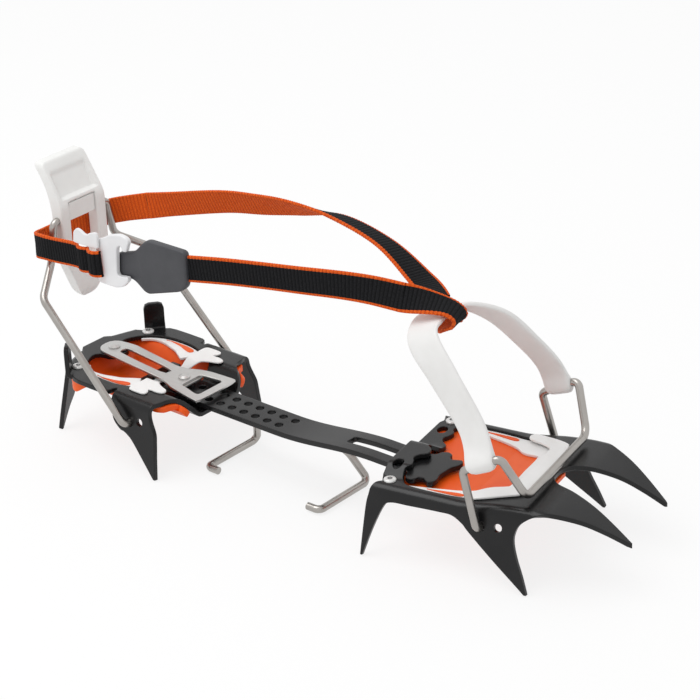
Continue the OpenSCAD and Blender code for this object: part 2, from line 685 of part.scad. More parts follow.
module toe_band_sheet() {
    across(-far_off, far_off) polygon(concat(
        [for (x = [0, ramp_x, arc_x]) [x, toe_line(x, 0)]],
        [for (x = [arc_x, ramp_x, 0]) [x, toe_line(x, sheet)]]));
    intersection() {
        translate([apex_x, 0, arc_z]) rotate([90, 0, 0]) difference() {
            cylinder(r = rocker_r, h = far_off, center = true, $fn = 180);
            cylinder(r = rocker_r - sheet, h = 2 * far_off, center = true, $fn = 180);
        }
        translate([arc_x, -far_off, 0]) cube([far_off, 2 * far_off, far_off]);
    }
}
module toe_side() {
    sheet_fold(toe_fold_x, ramp_x, toe_half, toe_top, toe_splay);
    sheet_fold(ramp_x - 1, ramp_x + bend_r * tan(ramp_deg), toe_half, toe_top, toe_splay, ramp_inset);
    translate([ramp_x, toe_flat_half, toe_top]) rotate([0, 0, -ramp_in]) rotate([0, -ramp_deg, 0])
        translate([0, bend_r - toe_half, -toe_top])
            sheet_fold(0, ramp_len, toe_half, toe_top, toe_splay);
    sheet_blade(toe_half, toe_top, toe_splay, concat(
        hung(toe_blade, toe_fold_x, ramp_x + ramp_len, toe_top, toe_splay),
        [[ramp_x + ramp_len, ramp_lift], [ramp_x - 0.6, lap]]));
}
module bridge() {
    b = bridge_half;
    k = bridge_flare;
    along(toe_rear, toe_cross_to) translate([bridge_y, 0]) difference() {
        polygon([[-b - k - sheet, toe_top - eps], [-b - sheet, bridge_low], [-b, bridge_low + sheet],
            [b, bridge_low + sheet], [b + sheet, bridge_low], [b + k + sheet, toe_top - eps]]);
        polygon([[-b - k, toe_top - sheet], [-b - k, toe_top], [-b, bridge_low], [b, bridge_low],
            [b + k, toe_top], [b + k, toe_top - sheet]]);
    }
}
module toe_frame() color(steel) in_frame() at_toe() above_floor() difference() {
    union() {
        intersection() {
            toe_band_sheet();
            slab(0, far_off) difference() {
                polygon(both(toe_plan));
                polygon(both(toe_open));
            }
        }
        bridge();
        sides() toe_side();
    }
    bore_y([toe_hole_x, toe_hole_z], hole_r);
    bore_y(toe_free_hole, hole_r);
    sides() {
        rivet_hole([toe_rivet[0], toe_rivet[1], 0]);
        for (d = [-1, 1]) translate([oval_hole[0], oval_hole[1] + d, 0])
            cylinder(r = 2.5, h = far_off);
    }
}

// Anti-snow moulding of the toe
snow_half = toe_flat_half - 1;
toe_snow_plan = [[8, snow_half - 4], [11, snow_half], [ramp_x, snow_half], [arc_x - 1, snow_half - 3], [arc_x, 9],
    [apex_x - 1, 8]];
module under_toe(high, low) {
    xs = [0, ramp_x, arc_x, apex_x];
    across(-far_off, far_off) polygon(concat(
        [for (x = xs) [x, toe_line(x, sheet) + high]],
        [for (x = back(xs)) [x, toe_line(x, sheet) + low]]));
}
module toe_snow_plate() color(orange) in_frame() at_toe() difference() {
    intersection() {
        under_toe(-snow_gap, -snow_gap - snow_t);
        slab(0, far_off) polygon(both(toe_snow_plan));
    }
    sides() rivet_hole([toe_rivet[0], toe_rivet[1], 0]);
}
white_rise = 1.1;
white_in = [[20, toe_flat_half - 3.5], [41, toe_flat_half - 7], [54, toe_flat_half - 11.5],
    [61, toe_flat_half - 21], [70, toe_flat_half - 20.5], [77, toe_flat_half - 16]];
module toe_snow_frame() color(white) in_frame() at_toe() sides() intersection() {
    under_toe(white_rise, eps - snow_gap);
    slab(0, far_off) polygon(concat(
        [for (p = toe_open) if (p[0] > toe_cross_to) [p[0], p[1] - arc_gap]] ,
        back(white_in)));
}
module toe_rivets() color(white) in_frame() at_toe() sides()
    translate([toe_rivet[0], toe_rivet[1], 0]) rivet(snow_top_toe - snow_t, toe_top);

// Bails
function flip(p) = [p[0], -p[1], p[2]];
toe_bends = [0, foot_bend, tight_bend, tight_bend, wide_bend];
module toe_bail_wire() color(bright) in_frame() at_toe_bail()
    wire(concat(toe_bail_half, [for (p = back(toe_bail_half)) flip(p)]),
        wire_r, concat(toe_bends, back(toe_bends)));
module barrel(r, len) {
    rod(run_mid - run_dir * len / 2, run_mid + run_dir * len / 2, r);
}
module toe_band() color(white) in_frame() at_toe_bail() difference() {
    union() {
        ribbon(concat([concat(flip(run_mid), flip(run_dir), band_end)], band_rows,
            [concat(run_mid, run_dir, band_end)]), band_w, band_t, band_steps);
        sides() barrel(hole_r + barrel_wall, barrel_len);
    }
    sides() barrel(hole_r, barrel_len + band_w);
}
heel_bends = [0, foot_bend, wide_bend, wide_bend, tight_bend, 0];
module heel_bail_wire() color(bright) in_frame() at_heel_bail() sides()
    wire(heel_bail_path, wire_r, heel_bends);

// Lever
module heel_lever() color(grey) in_frame() at_heel_bail() translate(lever_at) difference() {
    intersection() {
        across(-lever_w, lever_w) polygon(lever_side);
        along(-far_off, far_off) polygon([for (p = both([for (q = lever_front) [q[1], q[0]]]))
            [p[1], p[0]]]);
    }
    translate([-far_off, -window_w / 2, window_low])
        cube([2 * far_off, window_w, window_high - window_low]);
    sides() translate([0, lever_w / 2 - 6, 0]) rotate([-90, 0, 0])
        cylinder(r = hole_r, h = lever_w);
}
module lever_insert() color(white) in_frame() at_heel_bail() translate(lever_at)
    translate([-insert_t / 2, insert_gap - window_w / 2, insert_low])
        cube([insert_t, window_w - 2 * insert_gap, window_high - insert_gap - insert_low]);

// Buckle, tab and webbing
module buckle_hook() color(grey) in_frame() at_heel_bail()
    across(buckle_y - hook_t / 2, buckle_y + hook_t / 2) difference() {
        polygon(hook_outline);
        polygon(hook_window);
        polygon(hook_slot);
    }
ladder_y = buckle_y - hook_t / 2 - web_gap;
module buckle_ladder() color(grey) in_frame() at_heel_bail()
    across(ladder_y - ladder_t, ladder_y) {
        polygon(ladder_bar);
        for (z = ladder_prong_z)
            translate([ladder_bar[0][0] - ladder_prong[0], z]) square([ladder_prong[0] + 1, ladder_prong[1]]);
    }
tab_y = buckle_y + hook_t / 2 + web_gap;
module strap_end_tab() color(charcoal) in_frame() at_heel_bail()
    across(tab_y, tab_y + end_tab_t) polygon(tab_outline);

near_from = [heel_x + tab_outline[5][0] + end_gap, tab_y + end_tab_t / 2 + 1,
    heel_hole_z + (tab_outline[4][1] + tab_outline[5][1]) / 2];
near_to = to_layout(pos(loop_rows[0]) + [toe_hole_x, 0, toe_hole_z]);
far_from = pos(wrap_rows[len(wrap_rows) - 1]) + [heel_x, 0, heel_hole_z];
far_to = to_layout(pos(loop_rows[len(loop_rows) - 1]) + [toe_hole_x, 0, toe_hole_z]);
function run(rows, a, b, gap) = let (g = gap * unit(b - a)) [for (r = rows) concat(
    a + g + (b - a - 2 * g) * r[0] + [0, r[1], r[2]], [0, sin(r[3]), cos(r[3])])];
module strap_heel_wrap() color(orange) in_frame() at_heel_bail()
    ribbon(wrap_rows, web_w, web_t, web_steps);
module strap_far_run() color(orange) in_frame()
    ribbon(run(far_rows, far_from, far_to, 2 * end_gap), web_w, web_t, web_steps);
module strap_near_run() color(orange) in_frame()
    ribbon(run(near_rows, near_from, near_to, end_gap), web_w, web_t, web_steps);
module strap_toe_loop() color(orange) in_frame() at_toe_bail()
    ribbon(loop_rows, web_w, web_t, web_steps);

// Spare bail, lying on its legs
spare_half_path = [[spare_half - spare_stub, -spare_leg / 2, 0], [spare_half, -spare_leg / 2, 0],
    [spare_half, spare_leg / 2, 0], [spare_half - spare_in, spare_leg / 2 - 8, spare_rise]];
spare_bends = [0, foot_bend, foot_bend, wide_bend];
module spare_toe_bail() color(bright) in_frame()
    translate([spare_at[0], spare_at[1], wire_r + floor_gap])
        wire(concat(spare_half_path, [for (p = back(spare_half_path)) [-p[0], p[1], p[2]]]),
            wire_r, concat(spare_bends, back(spare_bends)));

heel_frame();
heel_snow_plate();
heel_snow_frame();
heel_rivets();
adjuster_spring();
adjuster_rivet();
lock_plate();
lock_rivet();
linking_bar();
toe_frame();
toe_snow_plate();
toe_snow_frame();
toe_rivets();
toe_bail_wire();
toe_band();
heel_bail_wire();
heel_lever();
lever_insert();
buckle_hook();
buckle_ladder();
strap_end_tab();
strap_heel_wrap();
strap_far_run();
strap_near_run();
strap_toe_loop();
spare_toe_bail();
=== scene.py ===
# %% [markdown]
# # A strap-in crampon, dressed in Blender
# The solids of the part come from its CAD model: folded steel, wire bails, plastic
# plates, a lever and a strap. The wires, the small lock parts and the toe's orange plate
# keep their solids and only take a finish. This lesson makes the other pieces again,
# because their real form is softer or more bent than a solid drawing: the pressed steel,
# the mouldings, the rivet heads, the buckle, the webbing and the toe band. Everything is
# in metres, in the frame of the CAD model.

# %% Load the CAD frame
import math
import bpy
import bmesh
import numpy as np
from mathutils import Matrix, Vector


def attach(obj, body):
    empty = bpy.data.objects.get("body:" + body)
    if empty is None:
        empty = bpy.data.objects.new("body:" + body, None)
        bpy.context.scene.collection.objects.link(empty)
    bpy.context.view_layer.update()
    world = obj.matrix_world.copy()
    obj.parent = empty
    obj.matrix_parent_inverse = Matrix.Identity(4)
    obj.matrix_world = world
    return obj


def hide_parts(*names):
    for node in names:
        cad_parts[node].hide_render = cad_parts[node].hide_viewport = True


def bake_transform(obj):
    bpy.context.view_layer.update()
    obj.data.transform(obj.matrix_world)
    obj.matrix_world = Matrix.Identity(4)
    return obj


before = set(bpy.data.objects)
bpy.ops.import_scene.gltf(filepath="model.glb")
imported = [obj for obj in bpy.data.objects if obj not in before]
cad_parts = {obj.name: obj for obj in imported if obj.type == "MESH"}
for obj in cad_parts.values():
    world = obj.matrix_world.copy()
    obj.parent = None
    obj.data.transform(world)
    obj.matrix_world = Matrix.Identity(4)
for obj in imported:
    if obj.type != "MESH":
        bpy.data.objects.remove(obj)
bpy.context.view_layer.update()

# %% [markdown]
# ## Where things are
# The maker's drawing measures in millimetres from three places: the linking bar, the
# heel bail's holes and the toe bail's holes. The toe section is turned a little to one
# side, as a foot is. Five short functions turn a place on one of these pieces into
# metres, so every later number can be read straight off the drawing.

# %% Places on the drawing
CENTRE = (-49.573, 15.324)
HEEL_X = -149.3
HEEL_HOLE_Z = 28.3
TOE_HOLE = (66.5, 0.0, 30.0)
TOE_YAW = math.radians(11.6)
TOE_SHIFT = 10.8


def on_bar(x, y, z):
    return Vector(((x - CENTRE[0]) / 1000, (y - CENTRE[1]) / 1000, z / 1000))


def on_heel(x, y, z):
    return on_bar(x + HEEL_X, y, z)


def on_heel_bail(x, y, z):
    return on_heel(x, y, z + HEEL_HOLE_Z)


def on_toe(x, y, z):
    c, s, y = math.cos(TOE_YAW), math.sin(TOE_YAW), y + TOE_SHIFT
    return on_bar(c * x - s * y, s * x + c * y, z)


def on_toe_bail(x, y, z):
    return on_toe(x + TOE_HOLE[0], y, z + TOE_HOLE[2])


print("toe bail hole:", [round(v, 4) for v in on_toe_bail(0, 0, 0)])

# %% [markdown]
# ## The camera
# A product photograph is taken with a long lens from far away, so parallel edges stay
# nearly parallel. The place, turn and focal length were worked out from known points of
# the object. The camera matrix is built from its own three axes: right, up and back. First
# they are found for a level camera, and then right and up are rolled a little.

# %% Camera
AZIMUTH, ELEVATION, ROLL = [math.radians(turn) for turn in (41.30, 26.01, -2.35)]
CAMERA_AT = on_bar(729.1, -858.5, 648.9)
SENSOR_MM, LENS_MM, FAR_CLIP = 36, 128.57, 20


def into_scene(name, data):
    thing = bpy.data.objects.new(name, data)
    bpy.context.scene.collection.objects.link(thing)
    return thing


back = Vector((math.sin(AZIMUTH) * math.cos(ELEVATION),
               -math.cos(AZIMUTH) * math.cos(ELEVATION), math.sin(ELEVATION)))
level = (-back).cross(Vector((0, 0, 1))).normalized()
tall = level.cross(-back)
right = math.cos(ROLL) * level + math.sin(ROLL) * tall
up = -math.sin(ROLL) * level + math.cos(ROLL) * tall
lens = bpy.data.cameras.new("studio_camera")
lens.sensor_width, lens.lens, lens.clip_end = SENSOR_MM, LENS_MM, FAR_CLIP
camera = into_scene("studio_camera", lens)
camera.matrix_world = Matrix.Translation(CAMERA_AT) @ Matrix(
    (right, up, back)).transposed().to_4x4()
bpy.context.scene.camera = camera
print("camera at", [round(v, 3) for v in camera.location])

# %% [markdown]
# ## Writing materials as sums
# A material in Blender is a tree of nodes. Wiring it by hand is long, so one small class
# holds one output of a tree and lets Python's own signs add the Math nodes: `1 - mask`
# or `noise * 0.2 + 0.4` read like the sum they are. `make` adds any other node, `span`
# stretches a range of values softly to 0 to 1, and `tint` mixes two colours.

# %% The socket class
class Socket:
    def __init__(self, tree, plug):
        self.tree, self.plug = tree, plug

    def make(self, kind, settings=None, inputs=None, out=0):
        node = self.tree.nodes.new(kind)
        for key, value in (settings or {}).items():
            setattr(node, key, value)
        for key, value in (inputs or {}).items():
            if isinstance(value, Socket):
                self.tree.links.new(value.plug, node.inputs[key])
            else:
                node.inputs[key].default_value = value
        return Socket(self.tree, node.outputs[out])

    def sum(self, operation, a, b):
        return self.make("ShaderNodeMath", {"operation": operation}, {0: a, 1: b})

    def __add__(self, other): return self.sum("ADD", self, other)
    def __radd__(self, other): return self.sum("ADD", other, self)
    def __sub__(self, other): return self.sum("SUBTRACT", self, other)
    def __rsub__(self, other): return self.sum("SUBTRACT", other, self)
    def __mul__(self, other): return self.sum("MULTIPLY", self, other)
    def __rmul__(self, other): return self.sum("MULTIPLY", other, self)

    def span(self, low, high):
        return self.make("ShaderNodeMapRange",
                         {"clamp": True, "interpolation_type": "SMOOTHSTEP"},
                         {"Value": self, "From Min": low, "From Max": high})

    def tint(self, dark, light):
        return self.make("ShaderNodeMix", {"data_type": "RGBA"},
                         {0: self, 6: dark, 7: light}, 2)


print("a socket can add, take away and multiply")

# %% [markdown]
# ## What every finish shares
# Each finish starts from Blender's Principled shader. Numbers that are the same all over
# go straight onto it. What varies comes from noise in the object's own coordinates, which
# are metres here, so a noise of scale 2000 has grains of half a millimetre. A Bevel node
# rounds the light on hard edges, and the difference between the rounded and the plain
# normal says how close to an edge a point is. That is where paint wears first.

# %% Helpers for finishes
def rgb(r, g, b):
    return (r, g, b, 1.0)


class Finish:
    def __init__(self, name, **constants):
        self.material = bpy.data.materials.new(name)
        self.material.use_nodes = True
        self.tree = self.material.node_tree
        self.shader = self.tree.nodes["Principled BSDF"]
        for key, value in constants.items():
            self.shader.inputs[key.replace("_", " ")].default_value = value
        self.place = self.coordinate("Object")

    def coordinate(self, kind):
        return Socket(self.tree, self.tree.nodes.new("ShaderNodeTexCoord").outputs[kind])

    def noise(self, scale, detail=3.0, stretch=None, place=None):
        place = place or self.place
        if stretch:
            place = place.make("ShaderNodeVectorMath", {"operation": "MULTIPLY"},
                               {0: place, 1: stretch})
        return place.make("ShaderNodeTexNoise", {}, {"Vector": place, "Scale": scale,
                                                     "Detail": detail, "Roughness": 0.6})

    def round_normal(self, radius):
        return self.place.make("ShaderNodeBevel", {"samples": 6}, {"Radius": radius})

    def edges(self, rounded):
        plain = self.place.make("ShaderNodeNewGeometry", {}, {}, "True Normal")
        alike = plain.make("ShaderNodeVectorMath", {"operation": "DOT_PRODUCT"},
                           {0: rounded, 1: plain}, "Value")
        return (1 - alike).span(0.01, 0.2)

    def bump(self, height, distance, normal=None, strength=1.0):
        inputs = {"Height": height, "Distance": distance, "Strength": strength}
        if normal:
            inputs["Normal"] = normal
        return height.make("ShaderNodeBump", {}, inputs)

    def feed(self, **sockets):
        for key, socket in sockets.items():
            self.tree.links.new(socket.plug, self.shader.inputs[key.replace("_", " ")])
        return self.material


print("finish helpers ready")

# %% [markdown]
# ## Black coat on steel
# The heel section, the toe section and the bar are folded from steel sheet and then
# coated satin black. The coat is nearly even, with a very fine orange-peel grain, and it
# shows grey where an edge is rubbed. A plain dark colour would look like a hole in the
# picture, so roughness and grain carry the surface.

# %% Black coat
coat = Finish("black_coat", Specular_IOR_Level=0.3)
rounded = coat.round_normal(0.0005)
worn = coat.edges(rounded) * coat.noise(420, 4).span(0.42, 0.66)
patches = coat.noise(28, 3).span(0.3, 0.7)
base = patches.tint(rgb(0.006, 0.006, 0.0065), rgb(0.011, 0.011, 0.0115))
base = (worn * 0.45).tint(base, rgb(0.15, 0.15, 0.15))
grain = coat.noise(2600, 2)
BLACK_COAT = coat.feed(Base_Color=base, Roughness=0.17 + 0.14 * coat.noise(160, 4),
                       Normal=coat.bump(grain, 0.00003, rounded, 0.6))
print("made", BLACK_COAT.name)

# %% [markdown]
# ## Bright steel: drawn wire and pressed plate
# The bails are drawn stainless wire, warm grey and softly shiny. The adjuster is a
# pressed plate of the same steel, brushed along its length. Both are full metal: only
# the roughness and a fine bump tell them apart. The brushing is noise stretched along X.

# %% Wire and plate
wire = Finish("drawn_wire", Metallic=1.0)
scuff = wire.noise(700, 4)
WIRE = wire.feed(Base_Color=wire.noise(90, 3).tint(rgb(0.33, 0.31, 0.29), rgb(0.47, 0.45, 0.425)),
                 Roughness=0.22 + 0.2 * scuff, Normal=wire.bump(scuff, 0.00003, strength=0.5))
plate_steel = Finish("brushed_plate", Metallic=1.0)
rounded = plate_steel.round_normal(0.0003)
brushed = plate_steel.noise(1.0, 4, (60, 3200, 3200))
PLATE = plate_steel.feed(Base_Color=brushed.tint(rgb(0.47, 0.465, 0.455), rgb(0.66, 0.655, 0.64)),
                         Roughness=0.30 + 0.16 * brushed,
                         Normal=plate_steel.bump(brushed, 0.00002, rounded, 0.7))
print("made", WIRE.name, PLATE.name)

# %% [markdown]
# ## Moulded plastics
# The anti-snow plates, the lever, the band, the rivet heads and the strap's end tab are
# mouldings or painted heads. They share one recipe: a colour that drifts a little, a
# satin roughness and a fine grain from the mould. Only the numbers change.

# %% Moulded plastics
def moulded(name, dark, light, rough, grain=1500, depth=0.00002, edge=0.0004, **constants):
    skin = Finish(name, **constants)
    tone = skin.noise(45, 3).span(0.25, 0.75)
    speck = skin.noise(grain, 3)
    normal = skin.bump(speck, depth, skin.round_normal(edge), 0.6)
    return skin.feed(Base_Color=tone.tint(rgb(*dark), rgb(*light)),
                     Roughness=rough - 0.06 + 0.12 * speck, Normal=normal)


ORANGE = moulded("orange_moulding", (0.78, 0.085, 0.006), (0.86, 0.115, 0.008), 0.4,
                 Specular_IOR_Level=0.25)
WHITE = moulded("white_moulding", (0.82, 0.82, 0.81), (0.87, 0.87, 0.865), 0.38)
LEVER = moulded("lever_moulding", (0.76, 0.76, 0.745), (0.81, 0.81, 0.795), 0.42, 900, 0.00003)
BAND = moulded("soft_band", (0.74, 0.735, 0.72), (0.80, 0.795, 0.785), 0.5, 600, 0.00003)
BUCKLE = moulded("pale_buckle", (0.72, 0.72, 0.73), (0.80, 0.80, 0.81), 0.34, 800, 0.00003)
TAB = moulded("charcoal_tab", (0.036, 0.037, 0.043), (0.052, 0.053, 0.06), 0.5, 1300, 0.00006)
RIVET = moulded("pale_rivet", (0.66, 0.66, 0.65), (0.8, 0.8, 0.79), 0.3, 900, 0.00004, 0.0002,
                Metallic=0.3)
print("made", [m.name for m in (ORANGE, WHITE, LEVER, BAND, BUCKLE, TAB, RIVET)])

# %% [markdown]
# ## Webbing
# The strap is woven: black cross ribs on its outer face, orange on its inner face and
# along both edges. The ribs are modelled, and the material adds the threads and painted
# shade between the ribs. Each strap mesh has UVs in centimetres along and across it, and a
# stretched noise in these gives threads that follow the strap through every twist. Between
# the ribs the colour is darkened as painted shade, where the valleys would fall in shadow.

# %% Webbing
RIB = 2.1
UV_MM = 10


def woven(name, dark, light, sheen):
    cloth = Finish(name, Sheen_Weight=sheen, Sheen_Roughness=0.5, Specular_IOR_Level=0.1)
    flat = cloth.coordinate("UV")
    thread = cloth.noise(1.0, 2, (9, 30, 1), flat)
    fuzz = cloth.noise(2400, 3)
    along = flat.make("ShaderNodeSeparateXYZ", {}, {0: flat})
    wave = along.sum("SINE", along * (math.pi * UV_MM / RIB), 0.0)
    # painted shade: the colour is darkened in the valleys between the ribs, where shadow falls
    painted_rib_shade = wave.sum("ABSOLUTE", wave, 0.0).span(0.1, 0.75)
    mix = (0.65 * thread + 0.35 * fuzz).span(0.3, 0.7) * (0.25 + 0.75 * painted_rib_shade)
    return cloth.feed(Base_Color=mix.tint(rgb(*dark), rgb(*light)), Roughness=0.66 + 0.2 * fuzz,
                      Normal=cloth.bump(0.6 * thread + 0.4 * fuzz, 0.00012, strength=0.8))


BLACK_WEB = woven("black_ribs", (0.002, 0.002, 0.0024), (0.019, 0.019, 0.021), 0.015)
ORANGE_WEB = woven("orange_weave", (0.46, 0.045, 0.005), (0.9, 0.16, 0.016), 0.06)
print("made", BLACK_WEB.name, ORANGE_WEB.name)

# %% [markdown]
# ## Dressing the CAD nodes
# Pieces whose solid is already right keep it: the wires, the lock plate with its rivets,
# and the toe's orange plate. They only take a finish in place of the CAD colour.

# %% Finishes on the CAD nodes
FINISH_OF = {
    "toe_snow_plate": ORANGE, "lock_plate": PLATE, "lock_rivet": PLATE, "adjuster_rivet": PLATE,
    "toe_bail_wire": WIRE, "heel_bail_wire": WIRE, "spare_toe_bail": WIRE}
for name, finish in FINISH_OF.items():
    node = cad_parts[name]
    node.data.materials.clear()
    node.data.materials.append(finish)
print("dressed", len(FINISH_OF), "nodes")

# %% [markdown]
# ## Curves and outlines
# Real outlines are smooth, with a few corners. `bend_through` runs a smooth line through
# points (a Catmull-Rom curve), and `soft_corners` trims the corners of a polygon with
# short arcs. `ring` is a round or oval hole, and `mirrored` adds the other half of a
# symmetrical outline. All give plain lists of points, in millimetres.

# %% Outlines
SIDES = ((1, "far"), (-1, "near"))


def bend_through(points, steps=6):
    rows = np.array(points, float)
    out = []
    for i in range(len(rows) - 1):
        a, b = rows[max(i - 1, 0)], rows[i]
        c, d = rows[i + 1], rows[min(i + 2, len(rows) - 1)]
        for t in np.arange(steps) / steps:
            out.append((2 * b + (c - a) * t + (2 * a - 5 * b + 4 * c - d) * t ** 2
                        + (3 * b - a - 3 * c + d) * t ** 3) / 2)
    return np.array(out + [rows[-1]])


def soft_corners(points, radius, steps=4):
    pts = np.array(points, float)
    out = []
    for i, p in enumerate(pts):
        a, b = pts[i - 1] - p, pts[(i + 1) % len(pts)] - p
        cut = min(radius, 0.45 * np.linalg.norm(a), 0.45 * np.linalg.norm(b))
        start, end = p + a / np.linalg.norm(a) * cut, p + b / np.linalg.norm(b) * cut
        for t in np.linspace(0, 1, steps + 1):
            out.append((1 - t) ** 2 * start + 2 * t * (1 - t) * p + t ** 2 * end)
    return np.array(out)


def ring(x, y, r, n=24, ry=None):
    a = np.arange(n) * 2 * math.pi / n
    return np.column_stack([x + r * np.cos(a), y + (ry or r) * np.sin(a)])


def mirrored(half):
    half = np.array(half, float)
    return np.vstack([half, half[half[:, 1] > 1e-6][::-1] * [1, -1]])


print("a soft square has", len(soft_corners([(0, 0), (1, 0), (1, 1), (0, 1)], 0.2)), "points")

# %% [markdown]
# Two more helpers work on outlines and heights. `inset` draws a loop in by the width of a
# rounded edge, to the inside of a piece or the outside of a hole. `ease` goes from 0 to 1
# between two values with a soft start and end, which is how pressed metal and moulded
# plastic change height.

# %% Inset and ease
TINY, SHARPEST = 1e-9, 1.2


def inset(loop, by, hole):
    pts = np.array(loop, float)
    turn = np.roll(pts, -1, axis=0)
    if (np.sum(pts[:, 0] * turn[:, 1] - turn[:, 0] * pts[:, 1]) > 0) == hole:
        pts = pts[::-1]
    ahead = np.roll(pts, -1, axis=0) - pts
    n = np.column_stack([-ahead[:, 1], ahead[:, 0]])
    n /= np.maximum(np.linalg.norm(n, axis=1), TINY)[:, None]
    n = n + np.roll(n, 1, axis=0)
    return pts + n * (2 * by / np.maximum(np.sum(n * n, axis=1), SHARPEST))[:, None]


def ease(value, low, high):
    t = np.clip((value - low) / (high - low), 0, 1)
    return t * t * (3 - 2 * t)


print("a quarter of the way, ease gives", round(float(ease(0.25, 0, 1)), 3))

# %% [markdown]
# ## Sheet and plate
# Most pieces are made from something flat: a blank is cut, then pressed. `pressed` does
# the same. It fills an outline with holes, cuts the fill along a grid so that it can bend,
# gives it thickness with rounded edges, and hands each point to a `shape` function that
# says where it goes. A Boolean of solids would also cut holes, but would not bend. `blank`
# makes the cut sheet, and `rim_of` finds its outer edges and which way is out from them. A
# cut nearer to a corner than `CUT_SNAP` runs through it, so that no sliver is left, and
# `MITRE` limits how far a sharp corner reaches.

# %% Blank and rim
CUT_SNAP = 0.03
MITRE = 1.3


def blank(rings, edge, grid, slants):
    flat = bmesh.new()
    loops = []
    for k, loop in enumerate(rings):
        corners = [flat.verts.new((p[0], p[1], 0)) for p in inset(loop, edge, k > 0)]
        loops += [flat.edges.new((corners[i - 1], corners[i])) for i in range(len(corners))]
    bmesh.ops.triangle_fill(flat, use_beauty=True, edges=loops, normal=(0, 0, 1))
    low, high = np.min(rings[0], axis=0), np.max(rings[0], axis=0)
    cuts = list(slants)
    for axis in (0, 1):
        for at in (grid[axis] if np.ndim(grid[axis]) else
                   np.arange(low[axis] + grid[axis] / 2, high[axis], grid[axis])):
            cuts.append(((at, at), (1 - axis, axis)))
    for spot, way in cuts:
        bmesh.ops.bisect_plane(flat, geom=flat.verts[:] + flat.edges[:] + flat.faces[:],
                               dist=CUT_SNAP, plane_co=(*spot, 0), plane_no=(*way, 0))
    for face in flat.faces:
        if face.normal.z < 0:
            face.normal_flip()
    flat.verts.index_update()
    return flat


def rim_of(flat, uv):
    out, rim = np.zeros_like(uv), []
    for side in flat.edges:
        if len(side.link_faces) == 1:
            loop = [l for l in side.link_faces[0].loops if l.edge == side][0]
            a, b = loop.vert.index, loop.link_loop_next.vert.index
            d = uv[b] - uv[a]
            n = np.array([d[1], -d[0]]) / max(np.linalg.norm(d), TINY)
            out[a] += n
            out[b] += n
            rim.append((a, b))
    size = np.maximum(np.linalg.norm(out, axis=1), 1.0)
    out = out / (size ** 2)[:, None] * 2
    long = np.linalg.norm(out, axis=1)
    return rim, out / np.maximum(long, TINY)[:, None] * np.minimum(long, MITRE)[:, None]


print("cuts snap to corners nearer than", CUT_SNAP, "mm")

# %% [markdown]
# The rounded edge is a quarter turn in three steps, above and below. Every step is a copy
# of the blank, pushed out at its rim, and strips of faces join the rims. `finished` then
# turns all faces outward, gives the mesh its material and keeps only its firm edges sharp.

# %% The press
ROUNDING = np.radians([0, 30, 60, 90])
FIRM, SOFT, CLOTH = 42, 50, 60


def pressed(name, rings, shape, thick, edge, grid, finish, smooth=FIRM, slants=()):
    flat = blank(rings, edge, grid, slants)
    uv = np.array([v.co[:2] for v in flat.verts])
    rim, out = rim_of(flat, uv)
    faces = [[v.index for v in f.verts] for f in flat.faces]
    flat.free()
    profile = [(edge * math.sin(a), edge * (1 - math.cos(a))) for a in ROUNDING]
    profile += [(o, thick - d) for o, d in reversed(profile)]
    count, steps = len(uv), len(profile) - 1
    points = [shape(u, v, d) for o, d in profile for u, v in uv + out * o]
    under = [[i + steps * count for i in reversed(f)] for f in faces]
    sides = [[a + k * count, a + (k + 1) * count, b + (k + 1) * count, b + k * count]
             for a, b in rim for k in range(steps)]
    mesh = bpy.data.meshes.new(name)
    mesh.from_pydata(points, [], faces + under + sides)
    return finished(name, mesh, finish, smooth)


def finished(name, mesh, finishes, smooth):
    work = bmesh.new()
    work.from_mesh(mesh)
    bmesh.ops.delete(work, geom=[v for v in work.verts if not v.link_faces], context="VERTS")
    bmesh.ops.recalc_face_normals(work, faces=work.faces)
    work.to_mesh(mesh)
    work.free()
    for finish in finishes if isinstance(finishes, list) else [finishes]:
        mesh.materials.append(finish)
    mesh.shade_smooth()
    mesh.set_sharp_from_angle(angle=math.radians(smooth))
    piece = into_scene(name, mesh)
    even = piece.modifiers.new("even_light", "WEIGHTED_NORMAL")
    even.keep_sharp = True
    return piece


def stands_for(piece, body, slot, *nodes):
    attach(piece, body)
    if nodes:
        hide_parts(*nodes)
    print(piece.name, "on", body, "with", len(piece.data.polygons), "faces")


print("the press is ready")

# %% [markdown]
# ## The toe section
# This is one blank of steel: a plate with a big opening, two side flanges that end in
# points, and two long front points that curve down. The press folds it the way a brake
# does: beyond the fold line a point runs round an arc of the bend radius and then
# straight down the leaning flange. Because the fold is a function, the front point can
# leave the flange in one flowing edge. A soft hump at the rear bridges the bar.

# %% Shape of the toe section
SHEET, STEEL_EDGE, NUDGE = 2.6, 0.35, 0.05
FOLD_R, FOLD_TURN, FOLD_AT = 5.0, math.radians(80), 38.0
FOLD_RUN, FOLD_DROP = FOLD_R * FOLD_TURN, 4.13
BRIDGE_END, BRIDGE_Y, HUMP, HUMP_HALF, HUMP_RAMP = 24, -13.2, 5.1, 20.5, 9.5
TIP = 0.45
toe_height = bend_through([(40, 39), (50, 39), (56, 39.25), (66, 40.75), (76, 42.3), (86, 43.2),
                           (95, 43.4), (104, 42.6), (116, 39.1), (127, 33.5), (138, 26.6)], 8)


def toe_top(x):
    return np.interp(x, toe_height[:, 0], toe_height[:, 1])


def toe_surface(x, v):
    side, s = (1 if v >= 0 else -1), max(abs(v) - FOLD_AT, 0)
    turn = min(s / FOLD_R, FOLD_TURN)
    rest = max(s - FOLD_RUN, 0)
    y = min(abs(v), FOLD_AT) + FOLD_R * math.sin(turn) + rest * math.cos(FOLD_TURN)
    z = toe_top(x) - FOLD_R * (1 - math.cos(turn)) - rest * math.sin(FOLD_TURN)
    if x < BRIDGE_END:
        z += HUMP * ease(HUMP_HALF - abs(v - BRIDGE_Y), 0, HUMP_RAMP)
    return np.array([x, side * y, z])


